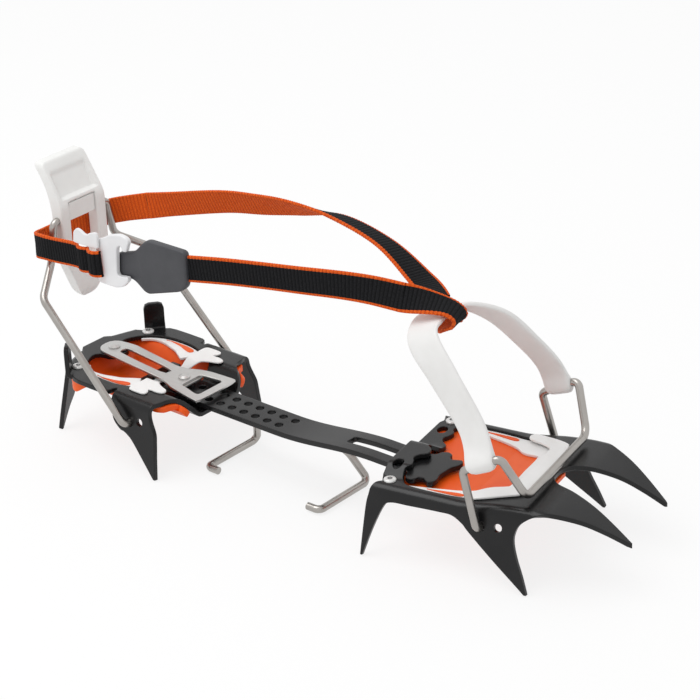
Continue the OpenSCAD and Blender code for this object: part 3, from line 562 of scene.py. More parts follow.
def sunk_from(surface, place):
    def shape(x, v, depth):
        along = surface(x + NUDGE, v) - surface(x - NUDGE, v)
        across = surface(x, v + NUDGE) - surface(x, v - NUDGE)
        n = np.cross(along, across)
        return place(*(surface(x, v) - n / np.linalg.norm(n) * depth))
    return shape


def on_flange(*spots):
    return [(x, FOLD_AT + FOLD_RUN + (toe_top(x) - FOLD_DROP - z) / math.sin(FOLD_TURN))
            for x, z in spots]


print("toe plate height at the front points' crest:", round(float(toe_top(95)), 2), "mm")

# %% [markdown]
# The outline is drawn on the flat blank, one side only, and mirrored. Heights on the
# flange are turned into lengths on the blank by `on_flange`. Each point of the crampon
# ends in a small flat, as a forged and ground tip does. `sunk_from` gives the sheet its
# thickness square to its folded face, so it stays even round every bend.

# %% Outline of the toe section
rear_edge = [(6.3, 0.0), (6.3, 31.5), (7.6, 34.6), (8.6, 36.6)]
rear_point = bend_through([(8.6, 36.6), (6.4, 38.6), (4.8, 42.0), (3.9, 46)]
                          + on_flange((2.5, 26), (0.8, TIP)), 5)
inner = bend_through(on_flange((2.0, TIP), (6.8, 15.3), (12.2, 28.0), (16.5, 31.4), (27, 31.9),
                               (43, 32.4), (50.5, 32.2), (56.2, 29.3), (60.7, 25.3),
                               (76.2, 12.9), (92.4, TIP)), 6)
front = bend_through(on_flange((93.8, TIP), (90.6, 9.3), (87.2, 17.5), (85.1, 24.5), (85.0, 29.5))
                     + [(87.3, 49.0), (92.6, 44.4), (97.4, 41.4), (103, 38.3), (111, 34.9),
                        (120.5, 30.7), (129, 27.0), (137.4, 23.4)], 6)
slot_side = bend_through([(138.0, 21.6), (127, 19.2), (116, 16.6), (104.7, 13.6), (96, 11.2),
                          (91.6, 8.8), (88.9, 5.0), (88.2, 0.0)], 6)
toe_outline = mirrored(np.vstack([rear_edge, rear_point[1:], inner, front, [(138.2, 22.5)],
                                  slot_side[:-1]]))
opening = bend_through([(17.0, 2), (20.5, 5.5), (21.0, 10), (17.6, 13.0), (16.2, 16.5),
                        (17.8, 20), (18.6, 24), (16.6, 27.5), (18.6, 32.6), (24, 35.8), (41, 36.2),
                        (54, 35), (66, 32.4), (75, 29.6), (78.4, 26), (79.2, 14), (79.4, 0)], 5)
BAIL_HOLE = 2.25
TOE_RIVET = (12, 34.8)
toe_holes = []
for side, _ in SIDES:
    toe_holes += [ring(TOE_RIVET[0], side * TOE_RIVET[1], 1.7),
                  ring(11.6, side * 24.5, 2.7, 24, 3.7)]
    toe_holes += [ring(x, side * v, BAIL_HOLE) for x, v in on_flange((66.5, 30.0), (76.1, 31.5))]
print("the toe blank has", len(toe_outline), "points on its outline and", len(toe_holes), "holes")

# %% [markdown]
# The blank can only bend where it is cut. Lines across it are close together over the
# front points' crest, and lines along it over the folds and the hump.

# %% Pressing the toe section
across = np.concatenate([np.arange(3, 140, 3.0), np.arange(84, 100, 1.5)])
along = [s * v for s, _ in SIDES for v in list(FOLD_AT + FOLD_RUN * np.linspace(0, 1, 9))
         + [BRIDGE_Y * s + d for d in np.linspace(-20.7, 20.7, 31)]]
toe_section = pressed("pressed_toe_section", [toe_outline, mirrored(opening)] + toe_holes,
                      sunk_from(toe_surface, on_toe), SHEET, STEEL_EDGE,
                      (np.unique(np.round(across, 2)), np.array(along)), BLACK_COAT)
stands_for(toe_section, "toe_section", "blackened_steel", "toe_frame")

# %% [markdown]
# ## The heel section
# The heel is folded from one blank too, along three kinds of crease on each side: the
# front flange and the rear point fold down, and a small tab beside the rear point folds
# up. A crease knows its line, its turn and its radius. A point of the blank beyond the
# line runs round the bend and on along the folded blade. At the front the plate dips into
# a channel for the bar.

# %% Shape of the heel section
HEEL_TOP, CHANNEL = 41.5, 10


def crease(start, end, inward, turn, radius, lift, margin):
    start, end = np.array(start, float), np.array(end, float)
    long = np.linalg.norm(end - start)
    go = (end - start) / long
    out = np.array([-go[1], go[0]])
    return {"at": start - out * inward, "go": go, "out": out, "turn": math.radians(turn),
            "radius": radius, "lift": lift, "low": -margin[0], "high": long + margin[1]}


REAR_TAB = crease((-56.9, 30.2), (-49.5, 39.1), 3.6, 90, 1.0, 1, (1, 1))
REAR_POINT = crease((-67.7, 13), (-62.7, 27), 5, 81, 5.0, -1, (2.5, 6))
FLANGE = crease((-14, 40), (14.6, 40), 5, 83, 5.0, -1, (1.2, 8))


def heel_surface(x, v):
    side, spot = (1 if v >= 0 else -1), np.array([x, abs(v)])
    z = HEEL_TOP - CHANNEL * (1 - ease(abs(v), 12.5, 24)) * ease(x, -3, 3)
    for c in (REAR_TAB, REAR_POINT, FLANGE):
        s, t = (spot - c["at"]) @ c["out"], (spot - c["at"]) @ c["go"]
        if s > 0 and c["low"] < t < c["high"]:
            turn, rest = min(s / c["radius"], c["turn"]), max(s - c["radius"] * c["turn"], 0)
            spot = c["at"] + c["go"] * t + c["out"] * (
                c["radius"] * math.sin(turn) + rest * math.cos(c["turn"]))
            z += c["lift"] * (c["radius"] * (1 - math.cos(turn)) + rest * math.sin(c["turn"]))
            break
    return np.array([spot[0], side * spot[1], z])


def on_blade(c, *spots):
    bend, drop = c["radius"] * c["turn"], c["radius"] * (1 - math.cos(c["turn"]))
    return [c["at"] + c["go"] * t + c["out"] * (
        bend + ((z - HEEL_TOP) * c["lift"] - drop) / math.sin(c["turn"])) for t, z in spots]


heel_shape = sunk_from(heel_surface, on_heel)
print("the tab's crease starts at", np.round(REAR_TAB["at"], 1))

# %% [markdown]
# The blank's outline runs from the middle of the rear edge round one side to the middle
# of the front, and is mirrored. `on_blade` turns heights on a folded blade into places on
# the blank.

# %% Outline of the heel section
GROUND = 0.5
rear_out = bend_through([(-64.6, 11.7)] + on_blade(
    REAR_POINT, (0.1, 36), (0.2, 33), (2, 27), (5.5, 18), (11.5, 11), (17.6, GROUND)), 5)
rear_back = bend_through(on_blade(
    REAR_POINT, (18.9, GROUND), (17.9, 12), (15.8, 28), (15.0, 36)) + [(-58.6, 25.7)], 5)
tab_edge = [(-56.6, 26.8), REAR_TAB["at"]] + on_blade(
    REAR_TAB, (0, 46), (0, 53.6), (0.9, 56.1), (3, 57), (8.6, 57), (10.7, 56.1), (11.57, 53.6),
    (11.57, 46))
side_edge = [(-46.6, 36.9), (-44.6, 38.5), (-40, 39.3), (-30, 39.5), (-20, 39.4), (-18, 38.6),
             (-17, 36.5), (-16.5, 34), (-15.4, 33.2), (-14.3, 34.2)]
flange_out = bend_through([(-14, 37)] + on_blade(
    FLANGE, (0.2, 35.5), (0.5, 32), (2.3, 26.4), (7.1, 22.5), (9.8, 22), (13, 20.5), (17.4, 17),
    (32.4, GROUND)), 5)
flange_back = bend_through(on_blade(
    FLANGE, (33.8, GROUND), (33.2, 12), (32.9, 20.9), (32.4, 26.5), (29.6, 32.6), (28.7, 36.2))
    + [(14.8, 37)], 5)
front_edge = bend_through([(15.2, 35), (16.2, 32), (16.8, 28.5), (18, 26), (21.5, 22.6),
                           (25.5, 19), (27.6, 15), (28, 11), (28, 0)], 3)
heel_outline = mirrored(np.vstack([
    [(-67.7, 0), (-67.7, 8.2), (-66.4, 10.6)], rear_out, rear_back, tab_edge, side_edge,
    flange_out, flange_back, front_edge]))
print("the heel blank has", len(heel_outline), "points on its outline")

# %% [markdown]
# The opening is a squared oval with a tongue at its rear, which carries the adjuster's
# rivet. Besides the grid, the blank is cut along the slanting creases, so that each bend
# is round and nothing else moves.

# %% Pressing the heel section
OVAL_X, OVAL_LONG, OVAL_WIDE, SQUARED = -27.2, 29.5, 30, 0.8
HEEL_RIVET = (-51.4, 27.5)
SEAT_X = -50.7


def oval(angle, shrink):
    c, s = math.cos(math.radians(angle)), math.sin(math.radians(angle))
    return (OVAL_X + (OVAL_LONG - shrink) * math.copysign(abs(c) ** SQUARED, c),
            (OVAL_WIDE - shrink) * abs(s) ** SQUARED)


heel_opening = mirrored(np.vstack([
    bend_through([(-42.7, 0), (-43.3, 3.1), (-45.1, 5.7), (-47.6, 7.4), (-50.7, 8.1), (-53.4, 8.9),
                  (-55.0, 11)], 3),
    [oval(a, 0) for a in range(158, 45, -6)],
    bend_through([(-2, 22.4), (1.6, 21.2), (2.5, 18.5)], 3), [(2.5, 0)]]))
heel_holes = [ring(SEAT_X, 0, 1.65)]
for side, _ in SIDES:
    heel_holes.append(ring(HEEL_RIVET[0], side * HEEL_RIVET[1], 1.65))
    heel_holes += [ring(x, side * v, BAIL_HOLE)
                   for x, v in on_blade(FLANGE, (14, 28.3), (21.4, 30.4))]
slants = [(c["at"] * [1, side] + c["out"] * [1, side] * s, c["out"] * [1, side])
          for c in (REAR_TAB, REAR_POINT) for side, _ in SIDES
          for s in np.linspace(0, c["radius"] * c["turn"], 7)]
across = np.concatenate([np.arange(-64, -4, 8), np.arange(-3, 3.1, 1), [8, 14, 20, 25]])
along = [side * y for side, _ in SIDES for y in list(np.arange(12.5, 24.6, 1.2))
         + list(35 + FLANGE["radius"] * FLANGE["turn"] * np.linspace(0, 1, 9))]
heel_section = pressed("pressed_heel_section", [heel_outline, heel_opening] + heel_holes,
                       heel_shape, SHEET, STEEL_EDGE, (across, np.array(along)), BLACK_COAT,
                       slants=slants)
stands_for(heel_section, "heel_section", "blackened_steel", "heel_frame")

# %% [markdown]
# ## The heel's anti-snow moulding
# Snow balls up under bare steel, so an orange tray closes the opening from below. It dips
# in the middle to let the bar run, and is thicker at its rear corners. Two lips hang under
# the plate's front edge. They use the heel's own surface, a little further down, so they
# follow the channel.

# %% Orange tray and lips
TRAY_TOP, TRAY_DIP, CORNER_GAIN = 38.6, 9.9, 2.2
UNDER_SHEET = 2.85


def tray_shape(x, y, depth):
    deep = (1 - ease(abs(y), 13.2, 25)) * ease(x, -61, -52)
    bulge = ease(abs(y), 24, 33) * ease(x, -60, -52) * (1 - ease(x, -46, -36))
    return on_heel(x, y, TRAY_TOP - TRAY_DIP * deep - depth * (1 + CORNER_GAIN * bulge))


tray_half = bend_through([(-61, 0), (-60.6, 10), (-57.5, 22), (-51.5, 32.6), (-46.5, 36.6),
                          (-40, 36.8), (-34, 34.8), (-24, 34.4)], 4)
tray_rings = [mirrored(np.vstack([tray_half, [(1.5, 34.4), (1.5, 0)]]))]
tray_rings += [ring(HEEL_RIVET[0], side * HEEL_RIVET[1], 1.7) for side, _ in SIDES]
tray = pressed("orange_heel_tray", tray_rings, tray_shape, 2.2, 0.4,
               (np.arange(-62, 2, 2.5), np.arange(-36, 37, 1.5)), ORANGE)
stands_for(tray, "heel_section", "orange_plastic", "heel_snow_plate")
lip = np.array([(3.2, 24.6), (3.2, 33.6), (13.4, 33.6), (17.6, 31.5), (18.6, 28), (19.8, 26),
                (22.8, 22.8), (25.6, 19.6), (25.8, 17), (12, 17), (6, 20.5)])
for side, name in SIDES:
    piece = pressed("orange_front_lip_" + name, [soft_corners(lip * [1, side], 1.6)],
                    lambda x, y, depth: heel_shape(x, y, UNDER_SHEET + depth), 3.4, 0.6,
                    (np.arange(4, 26, 2), np.arange(-34, 35, 1.5)), ORANGE)
    stands_for(piece, "heel_section", "orange_plastic", "heel_snow_plate")

# %% [markdown]
# A white crosspiece clips over the plate with four short fingers, and dives under the
# adjuster. A black strip behind it keeps the adjuster from being pushed down on the bar.

# %% White crosspiece and black strip
CROSS_LOW, CROSS_RISE = 36.95, 5.65


def at_heel_height(z):
    return lambda x, y, depth: on_heel(x, y, z - depth)


cross_half = bend_through([
    (-13.4, 0), (-13.2, 6.5), (-10.8, 12), (-9.4, 18), (-9.6, 25), (-9.4, 29.4), (-7.6, 31.2),
    (-2, 31.4), (1.6, 31), (2.8, 29.2), (2.2, 27.2), (0.9, 25.9), (2.2, 25.2), (5.6, 25.3),
    (9.4, 24.4), (10.4, 22.4), (9, 20.4), (5.4, 19.2), (1.4, 17.4), (-2.2, 14.4), (-6.6, 10.4),
    (-8.2, 6), (-8.4, 0)], 3)
crosspiece = pressed(
    "white_heel_crosspiece", [mirrored(cross_half)],
    lambda x, y, depth: on_heel(x, y, CROSS_LOW + CROSS_RISE * ease(abs(y), 9.8, 17) - depth),
    1.1, 0.4, ([], np.arange(-18, 18.1, 1)), WHITE)
stands_for(crosspiece, "heel_section", "white_plastic", "heel_snow_frame")
strip = soft_corners([(-19.5, -14), (-13, -14), (-13, 14), (-19.5, 14)], 1)
arms = pressed("black_lock_arms", [strip], at_heel_height(37.4), 1.2, 0.3, ([], []), BLACK_COAT)
stands_for(arms, "heel_section", "blackened_steel", "heel_frame")

# %% [markdown]
# White crescents line the opening's sides and widen to the front, and each one carries a
# slim orange inlay. Both follow the opening's oval, drawn in by a width that changes with
# the angle.

# %% Crescents and inlays
arc = [oval(a, 0.5) for a in range(140, 51, -3)]
arc += [oval(a, 1.8 + 9.6 * ease(-a, -132, -62)) for a in range(52, 141, 3)]
inlay = [oval(a, 1.8) for a in range(106, 67, -3)] + [oval(66, 2.6), oval(65, 3.6), oval(66, 4.8)]
inlay += [oval(a, 2.2 + 3.2 * ease(-a, -102, -74)) for a in range(69, 107, 3)]
for side, name in SIDES:
    piece = pressed("white_crescent_" + name, [np.array(arc) * [1, side]],
                    at_heel_height(40.3), 1.6, 0.4, ([], []), WHITE)
    stands_for(piece, "heel_section", "white_plastic", "heel_snow_frame")
    piece = pressed("orange_inlay_" + name, [np.array(inlay) * [1, side]],
                    at_heel_height(40.7), 0.6, 0.2, ([], []), ORANGE)
    stands_for(piece, "heel_section", "orange_plastic", "heel_snow_frame")

# %% [markdown]
# ## The toe's white surround
# The toe's orange plate stays as drawn. Its white surround is two pressings: a sunk ring
# that follows the opening's edge and widens to the front, and a raised yoke that clips
# over the plate's front corners with two round lobes. A slim orange inlay runs along each
# side of the ring.

# %% Toe moulding
def off_toe_plate(lift):
    return lambda x, y, depth: on_toe(x, y, toe_top(x) + lift - depth)


ring_half = np.vstack([
    [(78.8, 0)],
    bend_through([(78.6, 14), (77.8, 25.6), (74.6, 29.2), (65.8, 32), (54, 34.6), (41, 35.8),
                  (27, 35.6), (21.5, 33.9)], 4),
    bend_through([(24, 33.4), (38, 30.2), (47, 27.8), (54, 25), (59, 20.8), (63, 18.9),
                  (68.4, 17.6), (70.2, 15.2), (70, 0)], 4)])
surround = pressed("white_toe_ring", [mirrored(ring_half)], off_toe_plate(-1.2), 1.6, 0.4,
                   (np.arange(48, 80, 3), []), WHITE)
stands_for(surround, "toe_section", "white_plastic", "toe_snow_frame")
yoke_half = np.vstack([
    [(83.4, 0)],
    bend_through([(83.4, 20), (82.8, 26.4), (80.4, 29.4), (71, 33.4), (62.4, 36.4), (59, 36.7),
                  (57.3, 34.6), (58.4, 31.6), (62.4, 29), (67.4, 26.8), (72.4, 23.4),
                  (74.5, 19.6), (74.6, 0)], 4)])
yoke = pressed("white_toe_yoke", [mirrored(yoke_half)], off_toe_plate(1.5), 1.4, 0.55,
               (np.arange(57, 84, 3), []), WHITE)
stands_for(yoke, "toe_section", "white_plastic", "toe_snow_frame")
inlay = bend_through([(32, 33.6), (40, 33.9), (48, 33.7), (51, 33.2), (52.2, 32), (51, 30.9),
                      (47.6, 30.9), (41, 32), (35, 33), (32, 33.2)], 3)
for side, name in SIDES:
    piece = pressed("orange_toe_inlay_" + name, [inlay * [1, side]], off_toe_plate(-0.85),
                    0.5, 0.15, (np.arange(48, 54, 2), []), ORANGE)
    stands_for(piece, "toe_section", "orange_plastic", "toe_snow_frame")

# %% [markdown]
# ## Rivets
# A rivet is turned, so its head is a profile swung round an axis. These are painted white
# and struck with a round set, which leaves a dark dimple in the middle. Each one has a
# plain head on the far side of the moulding it holds. `tube` lists the faces that join
# one round of points to the next, with a lid at both ends. The strap and the band are
# made with it too.

# %% Rivets
DARK_DIMPLE = moulded("dark_dimple_grey", (0.1, 0.1, 0.1), (0.2, 0.2, 0.2), 0.4, 900, 0.00003, 0.0001)
STRUCK = [(3.3, -0.15), (3.3, 0.45), (3.1, 0.85), (2.6, 1.1), (1.75, 1.25), (1.35, 1.2),
          (1.1, 0.95), (0.45, 0.9), (0.3, 1.15), (0.02, 1.2)]
PLAIN = [(0.02, 0.15), (3.3, 0.15), (3.3, -0.6), (2.9, -1.0), (0.02, -1.3)]
ROUND, DIMPLE = 28, range(5, 8)


def tube(rows, around, first=0):
    quads = [(first + i * around + j, first + i * around + (j + 1) % around,
              first + (i + 1) * around + (j + 1) % around, first + (i + 1) * around + j)
             for i in range(rows - 1) for j in range(around)]
    return quads + [tuple(range(first + around - 1, first - 1, -1)),
                    tuple(range(first + (rows - 1) * around, first + rows * around))]


def rivets(name, body, node, place, spot, top, foot):
    points, faces, kinds = [], [], []
    for side, _ in SIDES:
        for outline, z in ((STRUCK, top), (PLAIN, foot)):
            faces += tube(len(outline), ROUND, len(points))
            kinds += [1 if outline is STRUCK and k in DIMPLE else 0
                      for k in range(len(outline) - 1) for j in range(ROUND)] + [0, 0]
            points += [place(spot[0] + r * math.cos(a), side * spot[1] + r * math.sin(a), z + h)
                       for r, h in outline for a in np.arange(ROUND) * 2 * math.pi / ROUND]
    mesh = bpy.data.meshes.new(name)
    mesh.from_pydata(points, [], faces)
    mesh.polygons.foreach_set("material_index", kinds)
    stands_for(finished(name, mesh, [RIVET, DARK_DIMPLE], 40), body, "white_rivet", node)


rivets("turned_heel_rivets", "heel_section", "heel_rivets", on_heel, HEEL_RIVET, HEEL_TOP, 36.3)
rivets("turned_toe_rivets", "toe_section", "toe_rivets", on_toe, TOE_RIVET, 39.0, 34.0)

# %% [markdown]
# ## The linking bar
# A flat strip joins heel and toe. It carries two staggered rows of setting holes, steps
# up to the toe in a long S, has one slot to save weight and ends in a T that hooks under
# the toe's bridge. It is the same press again: a blank with holes, and a height that
# depends only on the place along it.

# %% Linking bar
BAR_TOP, BAR_HALF, BAR_THICK = 35, 10.25, 3.0
RISE, RISE_FROM, RISE_RUN = 5.8, -72, 68
PITCH, FIRST_HOLE, ROW_Y, SETTING_HOLE = 8.45, HEEL_X - 0.3, 4.2, 2.3


def bar_shape(x, y, depth):
    t = np.clip((x - RISE_FROM) / RISE_RUN, 0, 1)
    slope = RISE * math.pi / RISE_RUN * math.sin(math.pi * t) / 2
    z = BAR_TOP + RISE * (1 - math.cos(math.pi * t)) / 2
    return on_bar(x + depth * slope, y, z - depth)


bar_half = np.vstack([
    bend_through([(-163, 0), (-162.6, 4.2), (-160, 8), (-154, BAR_HALF)], 4),
    [(-60, BAR_HALF), (17, BAR_HALF)],
    bend_through([(18.5, 10.4), (20.5, 12), (21.6, 15), (24.2, 16.8), (27.4, 15.8), (28.3, 13),
                  (30.4, 11.8), (33, 13.2), (35.2, 14), (37, 12.2), (36.9, 8.6), (35.4, 5),
                  (35.2, 0)], 4)])
bar_holes = [soft_corners([(-27, -3.4), (5.5, -3.4), (5.5, 3.4), (-27, 3.4)], 1.2)]
for k in range(-1, 10):
    bar_holes.append(ring(FIRST_HOLE + k * PITCH, -ROW_Y, SETTING_HOLE))
    bar_holes.append(ring(FIRST_HOLE + (k + 0.5) * PITCH, ROW_Y, SETTING_HOLE))
bar = pressed("pressed_linking_bar", [mirrored(bar_half)] + bar_holes, bar_shape, BAR_THICK,
              STEEL_EDGE, (np.arange(-87, 0, 3), []), BLACK_COAT)
stands_for(bar, "link_bar", "blackened_steel", "linking_bar")

# %% [markdown]
# ## The length adjuster
# A springy tongue of bright plate is riveted behind the heel and lies along the bar. Its
# front end is a finger window: lifting it draws two pegs out of the bar's holes. The
# tongue's height curves down from its seat to the lifting end.

# %% Adjuster tongue
tongue_line = bend_through([(-60, 43.1), (-50, 43.1), (-42, 43.05), (-34, 42.2), (-20, 40.9),
                            (-9, 39.9), (10, 39.9), (18, 39.5), (29, 39.0)], 8)


def tongue_shape(x, y, depth):
    return on_heel(x, y, np.interp(x, tongue_line[:, 0], tongue_line[:, 1]) - depth)


tongue_half = bend_through([(-58.2, 0), (-57.6, 3.6), (-55, 6.6), (-50.5, 8), (-40, 8.9),
                            (-27, 8.6), (-11, 8.2), (-4, 9.2), (0, 10.6), (7, 13.2), (24.4, 15.6),
                            (26.7, 14.4), (27.4, 9), (27.6, 0)], 4)
tongue_slot = bend_through([(-8.5, 1.8), (-16, 2.9), (-41, 2.9), (-44, 1.6), (-44.6, 0)], 4)
finger_window = soft_corners([(7.8, -6.4), (8.6, -7.4), (21, -10), (22.6, -8.6), (22.6, 8.6),
                              (21, 10), (8.6, 7.4), (7.8, 6.4)], 1.4)
tongue = pressed("adjuster_tongue", [mirrored(tongue_half), mirrored(tongue_slot),
                                     finger_window, ring(SEAT_X, 0, 1.7), ring(3, 0, 1.7)],
                 tongue_shape, 1.5, 0.3, (np.arange(-48, 28, 3), []), PLATE)
on_heel(-48, 0, 43)
on_heel(-36, 0, 42)
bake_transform(tongue)
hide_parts("adjuster_spring")
print("tongue with", len(tongue.data.polygons), "faces bends at its seat")

# %% [markdown]
# ## The heel lever
# The lever is one moulding: a scooped finger dish at the top, a frame round a window,
# and a tapered foot. It is drawn flat from the front, and the press is told how far
# forward its front lies at each point, with the dish taken away, and how far back its
# back lies. That keeps the side view's curl and the dish in one function each.

# %% Heel lever
LEVER_X, LEVER_Z, LEVER_THICK = -69, 92.2, 9
lever_front = bend_through([(-50, 0.5), (-47, 2.6), (-42, 3.4), (-20, 3.5), (0, 3.5), (8, 3.0),
                            (17, -1.8), (25, -6.6), (31, -10.2)], 8)
lever_back = bend_through([(-50, -1.2), (-46, -3.6), (-40, -4.4), (-20, -4.5), (0, -4.6), (8, -5.6),
                           (16, -8.2), (24, -12.6), (28, -15.6), (31, -16.2)], 8)


def lever_shape(y, z, depth):
    dish = (2.8 - 1.3 * ease(z, 12, 25)) * ease(z, 11.0, 11.8) * (1 - ease(z, 22.6, 26.4))
    f = np.interp(z, lever_front[:, 0], lever_front[:, 1]) - dish * (1 - ease(abs(y), 12.0, 13.8))
    b = np.interp(z, lever_back[:, 0], lever_back[:, 1])
    return on_heel_bail(LEVER_X + f + (b - f) * depth / LEVER_THICK, y, LEVER_Z + z)


lever_half = [(31, 15.9), (20, 16.2), (6, 16.75), (-22, 16.75), (-33, 12.4), (-45.5, 7.4),
              (-49.5, 4)]
lever_outline = soft_corners(mirrored(lever_half)[:, ::-1], 3.2)
lever_window = soft_corners([(-10, -24), (10, -24), (10, 9), (-10, 9)], 1.0)
rim_lines = np.arange(11.6, 14.1, 0.4)
across = np.concatenate([np.arange(-10, 10.1, 2.5), -rim_lines, rim_lines])
upward = np.concatenate([np.arange(-46, 10, 3), np.arange(10.8, 12.1, 0.2),
                         np.arange(13, 30, 0.9)])
lever = pressed("moulded_heel_lever", [lever_outline, lever_window], lever_shape, LEVER_THICK,
                1.1, (across, upward), LEVER, SOFT)
stands_for(lever, "heel_lever", "lever_plastic", "heel_lever")
window_plate = soft_corners([(-9.5, -1.6), (9.5, -1.6), (9.5, 8.5), (-9.5, 8.5)], 0.8)
insert = pressed("lever_window_plate", [window_plate],
                 lambda y, z, depth: on_heel_bail(LEVER_X + 2.1 - depth, y, LEVER_Z + z),
                 2.4, 0.3, ([], []), LEVER)
stands_for(insert, "heel_lever", "white_plastic", "lever_insert")

# %% [markdown]
# ## Buckle, prongs and end tab
# The strap closes with a cast hook: a plate on the webbing and an open claw that takes the
# narrow end of the end tab. Behind it a small pronged slider sets the length.
# All three stand upright, so the press works in the side view and its depth runs across.

# %% Buckle, prongs and end tab
TAB_Y, TAB_THICK, PAD = -27.2, 4.0, 0.35


def upright(y):
    return lambda x, z, depth: on_heel_bail(x, y + depth, z)


def tab_shape(x, z, depth):
    pad = ease(x, 1, 6) * ease(x, 39, 34)
    return on_heel_bail(x, TAB_Y + depth - PAD * pad * (1 - depth / TAB_THICK), z)


claw = soft_corners([(-26, 73.4), (-24.6, 72.4), (-17.8, 72.4), (-12.4, 72.5), (-7, 74.3),
                     (-2.6, 78.8), (-3.2, 80.9), (-9, 80), (-10.3, 80), (-11.1, 81.4), (-10, 95),
                     (-9.2, 96.9), (-7.2, 98), (-6, 97), (-6.2, 94.7), (-2.7, 95.5), (-2, 98.2),
                     (-0.4, 101.4), (-2.3, 103.7), (-7.4, 104.4), (-14.5, 102.5), (-21, 99),
                     (-25.6, 97)], 1.4)
hook = pressed("cast_hook_buckle", [claw], upright(-30.5), 3.0, 0.7, (4, 4), BUCKLE, SOFT)
stands_for(hook, "heel_bail", "buckle_alloy", "buckle_hook")
prongs = soft_corners([(-40.7, 92.8), (-40, 99), (-37.4, 101.6), (-34.6, 101), (-31.7, 99.4),
                       (-29.4, 99.4), (-26.9, 101.2), (-23, 102.4), (-21.9, 100.7), (-22, 93.2),
                       (-25.4, 92.8), (-37.2, 92.7)], 1.4)
slider = pressed("pronged_slider", [prongs], upright(-32.6), 1.8, 0.5, (4, 4), BUCKLE, SOFT)
stands_for(slider, "heel_bail", "buckle_alloy", "buckle_ladder")
tab_line = soft_corners([(-15.4, 78.2), (-2.4, 78.8), (7.5, 72.8), (32, 80.6), (37.2, 84.7),
                         (37.5, 104.6), (9.4, 104.4), (-0.6, 95), (-14.3, 91)], 3.0)
tab = pressed("strap_end_tab_moulding", [tab_line], tab_shape, TAB_THICK, 1.1, (3, 3), TAB, SOFT)
stands_for(tab, "heel_bail", "tab_plastic", "strap_end_tab")

# %% [markdown]
# ## Weaving the strap
# Webbing is a flat ribbon that twists as it runs. Each stretch is given as a few rows: a
# place and the direction of its width. A smooth curve goes through the rows, and a cross
# section with two ribbed faces and two edge cords is carried along it. `spaced` sets the
# rows at even steps, and `directions` squares the width to the way that the strap runs.

# %% Along a strap
STEP = 0.35


def spaced(rows, step=STEP):
    dense = bend_through(rows, 30)
    run = np.concatenate([[0], np.cumsum(np.linalg.norm(np.diff(dense[:, :3], axis=0), axis=1))])
    s = np.linspace(0, run[-1], max(int(round(run[-1] / step)), 8) + 1)
    return s, np.column_stack([np.interp(s, run, dense[:, k]) for k in range(dense.shape[1])])


def directions(rows):
    go = np.gradient(rows[:, :3], axis=0)
    go /= np.linalg.norm(go, axis=1)[:, None]
    wide = rows[:, 3:6] - go * np.sum(go * rows[:, 3:6], axis=1)[:, None]
    wide /= np.linalg.norm(wide, axis=1)[:, None]
    return wide, np.cross(go, wide)


print("a strap has a row of points every", STEP, "mm")

# %% [markdown]
# The ribs are real geometry, because they show in the strap's outline and in its shine.
# `weave` lists the points of one section after another and joins them as a tube: its upper
# face, one cord, its lower face and the other cord.

# %% The loom
WEB_THICK = 1.6
RIB_TALL, RIB_SINK, RIB_ROUND = 0.36, 0.22, 0.7
CORD_PITCH, CORD_SWELL = 1.5, 0.14
field = np.array([-6.0, -4.3, -2.6, -0.9, 0.9, 2.6, 4.3, 6.0])
turns = np.radians(np.linspace(125, -125, 8))
cord_w, cord_n = 6.75 + 0.75 * np.cos(turns), 0.88 * np.sin(turns)
N_FIELD, AROUND = len(field), 2 * len(field) + 2 * len(cord_w)


def weave(name, s, rows, faces_up, puff=None):
    wide, out = directions(rows)
    half = WEB_THICK / 2 + RIB_TALL * np.abs(np.sin(math.pi * s / RIB)) ** RIB_ROUND - RIB_SINK
    twist = 1 + CORD_SWELL * np.sin(2 * math.pi * s / CORD_PITCH)
    lift = puff(s) if puff else np.zeros_like(s)
    points = []
    for i in range(len(s)):
        across = np.concatenate([field, cord_w * (0.97 + 0.03 * twist[i]), field[::-1], -cord_w])
        n = np.concatenate([np.full(N_FIELD, half[i]), cord_n * twist[i],
                            np.full(N_FIELD, -half[i]), -cord_n * twist[i]]) + lift[i]
        p = rows[i, :3] + np.outer(across, wide[i]) + np.outer(n, out[i])
        points += [on_bar(*q) for q in p]
    upper, lower = range(N_FIELD - 1), range(AROUND // 2, AROUND // 2 + N_FIELD - 1)
    kinds = [0 if j in upper else 1 if j in lower else 2 for j in range(AROUND)] * (len(s) - 1)
    mesh = bpy.data.meshes.new(name)
    mesh.from_pydata(points, [], tube(len(s), AROUND))
    mesh.polygons.foreach_set("material_index", kinds + [faces_up.index(BLACK_WEB)] * 2)
    layer = mesh.uv_layers.new(name="thread")
    for loop in mesh.loops:
        i, j = divmod(loop.vertex_index, AROUND)
        layer.data[loop.index].uv = (s[i] / UV_MM, across[j] / UV_MM)
    return finished(name, mesh, faces_up, CLOTH)


def declare(length):
    length / 1000


BLACK_UP = [BLACK_WEB, ORANGE_WEB, ORANGE_WEB]
ORANGE_UP = [ORANGE_WEB, BLACK_WEB, ORANGE_WEB]
print("loom set to ribs of", RIB, "mm")

# %% [markdown]
# The wrap goes from the buckle round behind the lever, and the loop goes over and under
# the toe band. Each of them moves with its own bail. Just behind the buckle the webbing
# doubles back through the slider, which shows as two soft swellings.

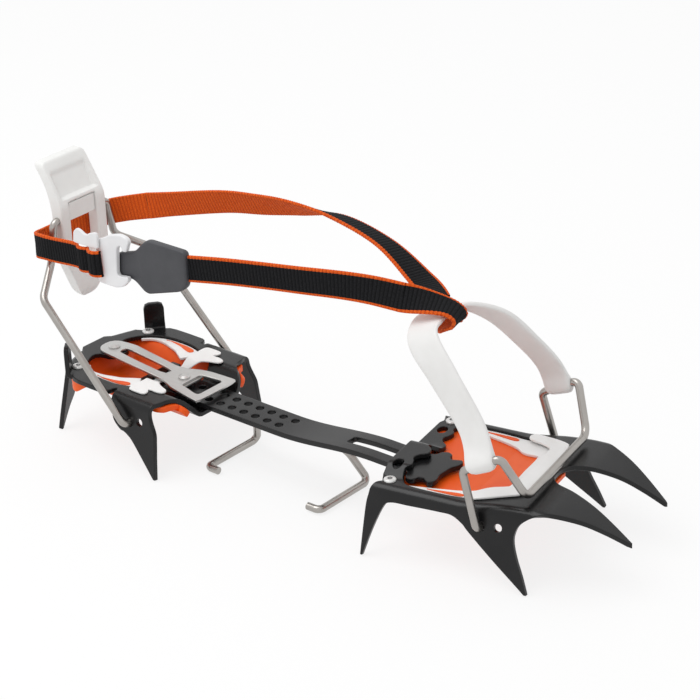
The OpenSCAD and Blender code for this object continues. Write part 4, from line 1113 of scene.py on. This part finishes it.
# %% Wrap and loop
FOLD_TALL, FOLD_LENGTH = 2.3, 20
wrap_places = [
    (-20.6, -32.1, 84.8), (-25, -32.1, 84.5), (-31, -30.8, 84.2), (-38, -29.6, 83.7),
    (-46, -28.8, 83.1), (-60, -28.6, 81.6), (-70, -28.2, 80.8), (-78.5, -25, 78.9),
    (-81.8, -17, 77.6), (-80, -7, 78.6), (-77.6, 3, 79.9), (-76.9, 13, 80.3), (-76.9, 21, 80.6),
    (-74, 27.5, 81.6), (-66, 32, 83.8)]
wrap_rows = np.array([[*place, 0, 0, 1] for place in wrap_places]
                     + [[-53.7, 37.5, 86.5, 0, 0.1, 1]])
wrap_rows[:, :3] += [HEEL_X, 0, HEEL_HOLE_Z]
loop_rows = np.array([
    [-56.5, -15, 101.5, 0, 0.45, 0.9], [-42.5, -11.5, 100, 0, 0.85, 0.4],
    [-32.5, -9, 97.8, 0, 1, 0.1], [-27.7, -8, 94.5, 0, 1, 0], [-27.9, -7.5, 91, 0, 1, 0],
    [-32.5, -5, 87, 0.1, 1, 0], [-38.5, 2, 83, 0.1, 1, 0], [-45, 10, 84, 0.15, 1, -0.05],
    [-53.4, 18.5, 88.5, 0.2, 0.97, -0.17]])
turned = np.array([[math.cos(TOE_YAW), math.sin(TOE_YAW), 0],
                   [-math.sin(TOE_YAW), math.cos(TOE_YAW), 0], [0, 0, 1]])
loop_rows[:, :3] = (loop_rows[:, :3] + np.array(TOE_HOLE) + [0, TOE_SHIFT, 0]) @ turned
loop_rows[:, 3:6] = loop_rows[:, 3:6] @ turned


def folds(s):
    t = np.clip((s - 0.3) / FOLD_LENGTH, 0, 1)
    return -FOLD_TALL * np.abs(np.sin(2 * math.pi * t)) ** RIB_ROUND


s, rows = spaced(wrap_rows)
wrap = weave("webbing_heel_wrap", s, rows, ORANGE_UP, folds)
stands_for(wrap, "heel_bail", "webbing", "strap_heel_wrap")
declare(s[-1])
s, rows = spaced(loop_rows)
loop = weave("webbing_toe_loop", s, rows, BLACK_UP)
stands_for(loop, "toe_bail", "webbing", "strap_toe_loop")
declare(s[-1])

# %% [markdown]
# The two runs cross from the heel bail to the toe bail, past the heel, the bar and the
# toe. Each run is cut into four stretches. Each row of a share list is a part of the way,
# how far the strap bows sideways and up there, and its lean.

# %% The two runs
near_share = [[-0.03, 0.1, -0.2, 0], [0, 0, 0, 0], [0.18, -0.9, 1.5, 0], [0.37, -1.7, 2.4, 0],
              [0.55, -2.1, 2.8, 2], [0.74, -2.2, 3.2, 6], [0.88, -1.3, 2.3, 14], [1, 0, 0, 26]]
far_share = [[0, 0, 0, 6], [0.08, 4, 3.6, -9], [0.25, 7.9, 12, -17], [0.37, 9.9, 15.6, -24],
             [0.49, 11, 19.1, -41], [0.62, 14.5, 19.4, -71], [0.77, 16.5, 11.3, -79],
             [0.91, 10.8, 0.4, -95], [1, 0, 0, -80]]
CUTS = [0, 0.5, 0.78, 0.87, 1]
LAP = 1.4


def run_rows(share, start, end):
    return np.array([list(start + (end - start) * r[0] + [0, r[1], r[2]])
                     + [0, math.sin(math.radians(r[3])), math.cos(math.radians(r[3]))]
                     for r in share])


def lay_run(name, rows, finishes, node):
    s, rows = spaced(rows)
    marks = [int(round(c * (len(s) - 1))) for c in CUTS]
    for k, (a, b) in enumerate(zip(marks, marks[1:])):
        piece = weave(name + "_" + str(k + 1), s[a:b + 1], rows[a:b + 1], finishes)
        start, end = on_bar(*rows[a, :3]), on_bar(*rows[b, :3])
        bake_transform(piece)
        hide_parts(node)
        declare(s[b] - s[a])
    print(name, "is", round(s[-1], 1), "mm long")


near_from = np.array([HEEL_X + 38.4, -24.2, HEEL_HOLE_Z + 94.65])
near_rows = run_rows(near_share, near_from, loop_rows[0, :3])
near_rows[-1, 3:6] = loop_rows[0, 3:6]
onward = loop_rows[1, :3] - loop_rows[0, :3]
near_rows[-1, :3] += LAP * onward / np.linalg.norm(onward)
far_rows = run_rows(far_share, wrap_rows[-1, :3], loop_rows[-1, :3])
far_rows[-1, 3:6] = -loop_rows[-1, 3:6]
lay_run("webbing_near_run", near_rows, BLACK_UP, "strap_near_run")
lay_run("webbing_far_run", far_rows, ORANGE_UP, "strap_far_run")

# %% [markdown]
# ## The toe band
# A soft white strap of moulded plastic arches over the boot's toe. It is broad in the
# middle, narrower at its ends, and thickens there into two eyes that turn on the wire.
# Each row is a place, the direction of the width and the share of the full width. The
# curve runs a little past both eyes, so that the tips can be round.

# %% The band's curve
EYE_AT, EYE_WIDE = np.array([2.25, 45.95, 36.25]), np.array([0.871, -0.013, 0.489])
NEAR = [1, -1, 1]
END_ROUND = 4.2
band_rows = [[-4.8, -41.2, 52.4, 0.84, -0.17, 0.52, 0.92],
             [-22.7, -34.7, 72.9, 0.83, -0.2, 0.53, 1],
             [-37.3, -26.8, 86, 0.83, -0.11, 0.54, 1], [-41.5, -15, 90.7, 0.95, 0.03, 0.3, 0.95],
             [-39.5, -2, 91.7, 0.97, -0.05, 0.25, 0.9], [-32, 9.5, 91, 0.75, -0.46, 0.45, 0.88],
             [-19.5, 21, 82.5, 0.83, -0.22, 0.5, 0.8], [-9.5, 33.5, 65, 0.895, -0.1, 0.43, 0.75],
             [-2, 41, 51, 0.93, -0.05, 0.36, 0.76]]
band_rows = np.array([[*EYE_AT * NEAR, *EYE_WIDE * NEAR, 0.85]] + band_rows
                     + [[*EYE_AT, *EYE_WIDE, 0.78]])


def reach(a, b):
    away = (a - b) / np.linalg.norm((a - b)[:3])
    return a + away * ([END_ROUND] * 3 + [0] * 4)


band_rows = np.vstack([reach(band_rows[0], band_rows[1]), band_rows,
                       reach(band_rows[-1], band_rows[-2])])
s, rows = spaced(band_rows, 0.8)
print("the band is", round(s[-1], 1), "mm long")

# %% [markdown]
# The section is a squarish oval. Near its ends the band swells into the eyes and closes in
# a round tip, and on the far side it is a little plumper.

# %% Toe band
BAND_WIDE, BAND_THICK, EYE_SWELL, EYE_RUN = 19.5, 3.0, 4.8, 5.5
WIDTH_ROUND, PLUMP, PLUMP_AT, PLUMP_RUN = 5, 0.8, 0.72, 22


def quarter(tip, run):
    return math.sqrt(1 - np.clip((run - tip) / run, 0, 1) ** 2)


def squarish(a):
    return np.sign(a) * np.abs(a) ** 0.55


wide, out = directions(rows)
lobe = np.linspace(0, 2 * math.pi, 32, endpoint=False)
points = []
for i in range(len(s)):
    tip = min(s[i], s[-1] - s[i])
    thick = BAND_THICK + EYE_SWELL * math.exp(-((tip - END_ROUND) / EYE_RUN) ** 2)
    thick += PLUMP * math.exp(-((s[i] - PLUMP_AT * s[-1]) / PLUMP_RUN) ** 2)
    thick *= max(quarter(tip, END_ROUND), 0.04)
    broad = BAND_WIDE * rows[i, 6] * (0.5 + 0.5 * quarter(tip, WIDTH_ROUND))
    w, n = broad / 2 * squarish(np.cos(lobe)), thick / 2 * squarish(np.sin(lobe))
    points += [on_toe_bail(*q)
               for q in rows[i, :3] + np.outer(w, wide[i]) + np.outer(n, out[i])]
mesh = bpy.data.meshes.new("soft_toe_band")
mesh.from_pydata(points, [], tube(len(s), len(lobe)))
band = finished("soft_toe_band", mesh, BAND, CLOTH)
stands_for(band, "toe_bail", "band_rubber", "toe_band")

# %% [markdown]
# ## The studio
# The floor is pale and takes a soft shadow. To the camera, in reflections and through
# clear things it glows, so that it melts into the white behind it, and the object's own
# light is left alone. The white surroundings are a little dimmer as a lamp than they look.

# %% Floor and world
FLOOR, FLOOR_Z, FLOOR_GLOW, FILL = 6, -0.0002, 0.8, 0.8
WHITE_LIGHT = rgb(1, 1, 1)


def looked_at(tree):
    ray = Socket(tree, tree.nodes.new("ShaderNodeLightPath").outputs["Is Camera Ray"])
    shine = ray.make("ShaderNodeLightPath", {}, {}, "Is Glossy Ray")
    clear = ray.make("ShaderNodeLightPath", {}, {}, "Is Transmission Ray")
    return (ray + shine + clear).span(0, 1)


def mix_into(tree, output, factor, plain, glowing):
    mixed = factor.make("ShaderNodeMixShader", {}, {0: factor, 1: plain, 2: glowing})
    tree.links.new(mixed.plug, tree.nodes[output].inputs["Surface"])


floor_mesh = bpy.data.meshes.new("studio_floor")
floor_mesh.from_pydata([(x * FLOOR, y * FLOOR, FLOOR_Z)
                        for x, y in ((-1, -1), (1, -1), (1, 1), (-1, 1))], [], [(0, 1, 2, 3)])
floor = into_scene("studio_floor", floor_mesh)
paper = bpy.data.materials.new("studio_paper")
paper.use_nodes = True
seen = looked_at(paper.node_tree)
matte = seen.make("ShaderNodeBsdfDiffuse", {}, {"Color": rgb(0.9, 0.9, 0.9)})
glow = seen.make("ShaderNodeEmission", {}, {"Color": WHITE_LIGHT, "Strength": 1.0})
mix_into(paper.node_tree, "Material Output", seen * FLOOR_GLOW, matte, glow)
floor_mesh.materials.append(paper)
world = bpy.data.worlds.new("white_room")
bpy.context.scene.world = world
world.use_nodes = True
seen = looked_at(world.node_tree)
fill, white = [seen.make("ShaderNodeBackground", {}, {"Color": WHITE_LIGHT, "Strength": strength})
               for strength in (FILL, 1.0)]
mix_into(world.node_tree, "World Output", seen, fill, white)
print("floor and world ready")

# %% [markdown]
# One broad lamp hangs above the object, to the left of the camera, and looks at the middle
# of it. It is turned by pointing its own Z axis back along that line.

# %% Lamp
LAMP_AT = Vector((-0.35, -0.35, 1.15))
lamp = bpy.data.lights.new("broad_lamp", "AREA")
lamp.shape, lamp.size, lamp.size_y, lamp.energy = "RECTANGLE", 0.9, 0.7, 6.0
lamp_stand = into_scene("broad_lamp", lamp)
lamp_stand.location = LAMP_AT
lamp_stand.rotation_euler = LAMP_AT.to_track_quat("Z", "Y").to_euler()
bpy.context.scene.view_settings.view_transform = "Standard"
print("lamp of", lamp.energy, "watts")
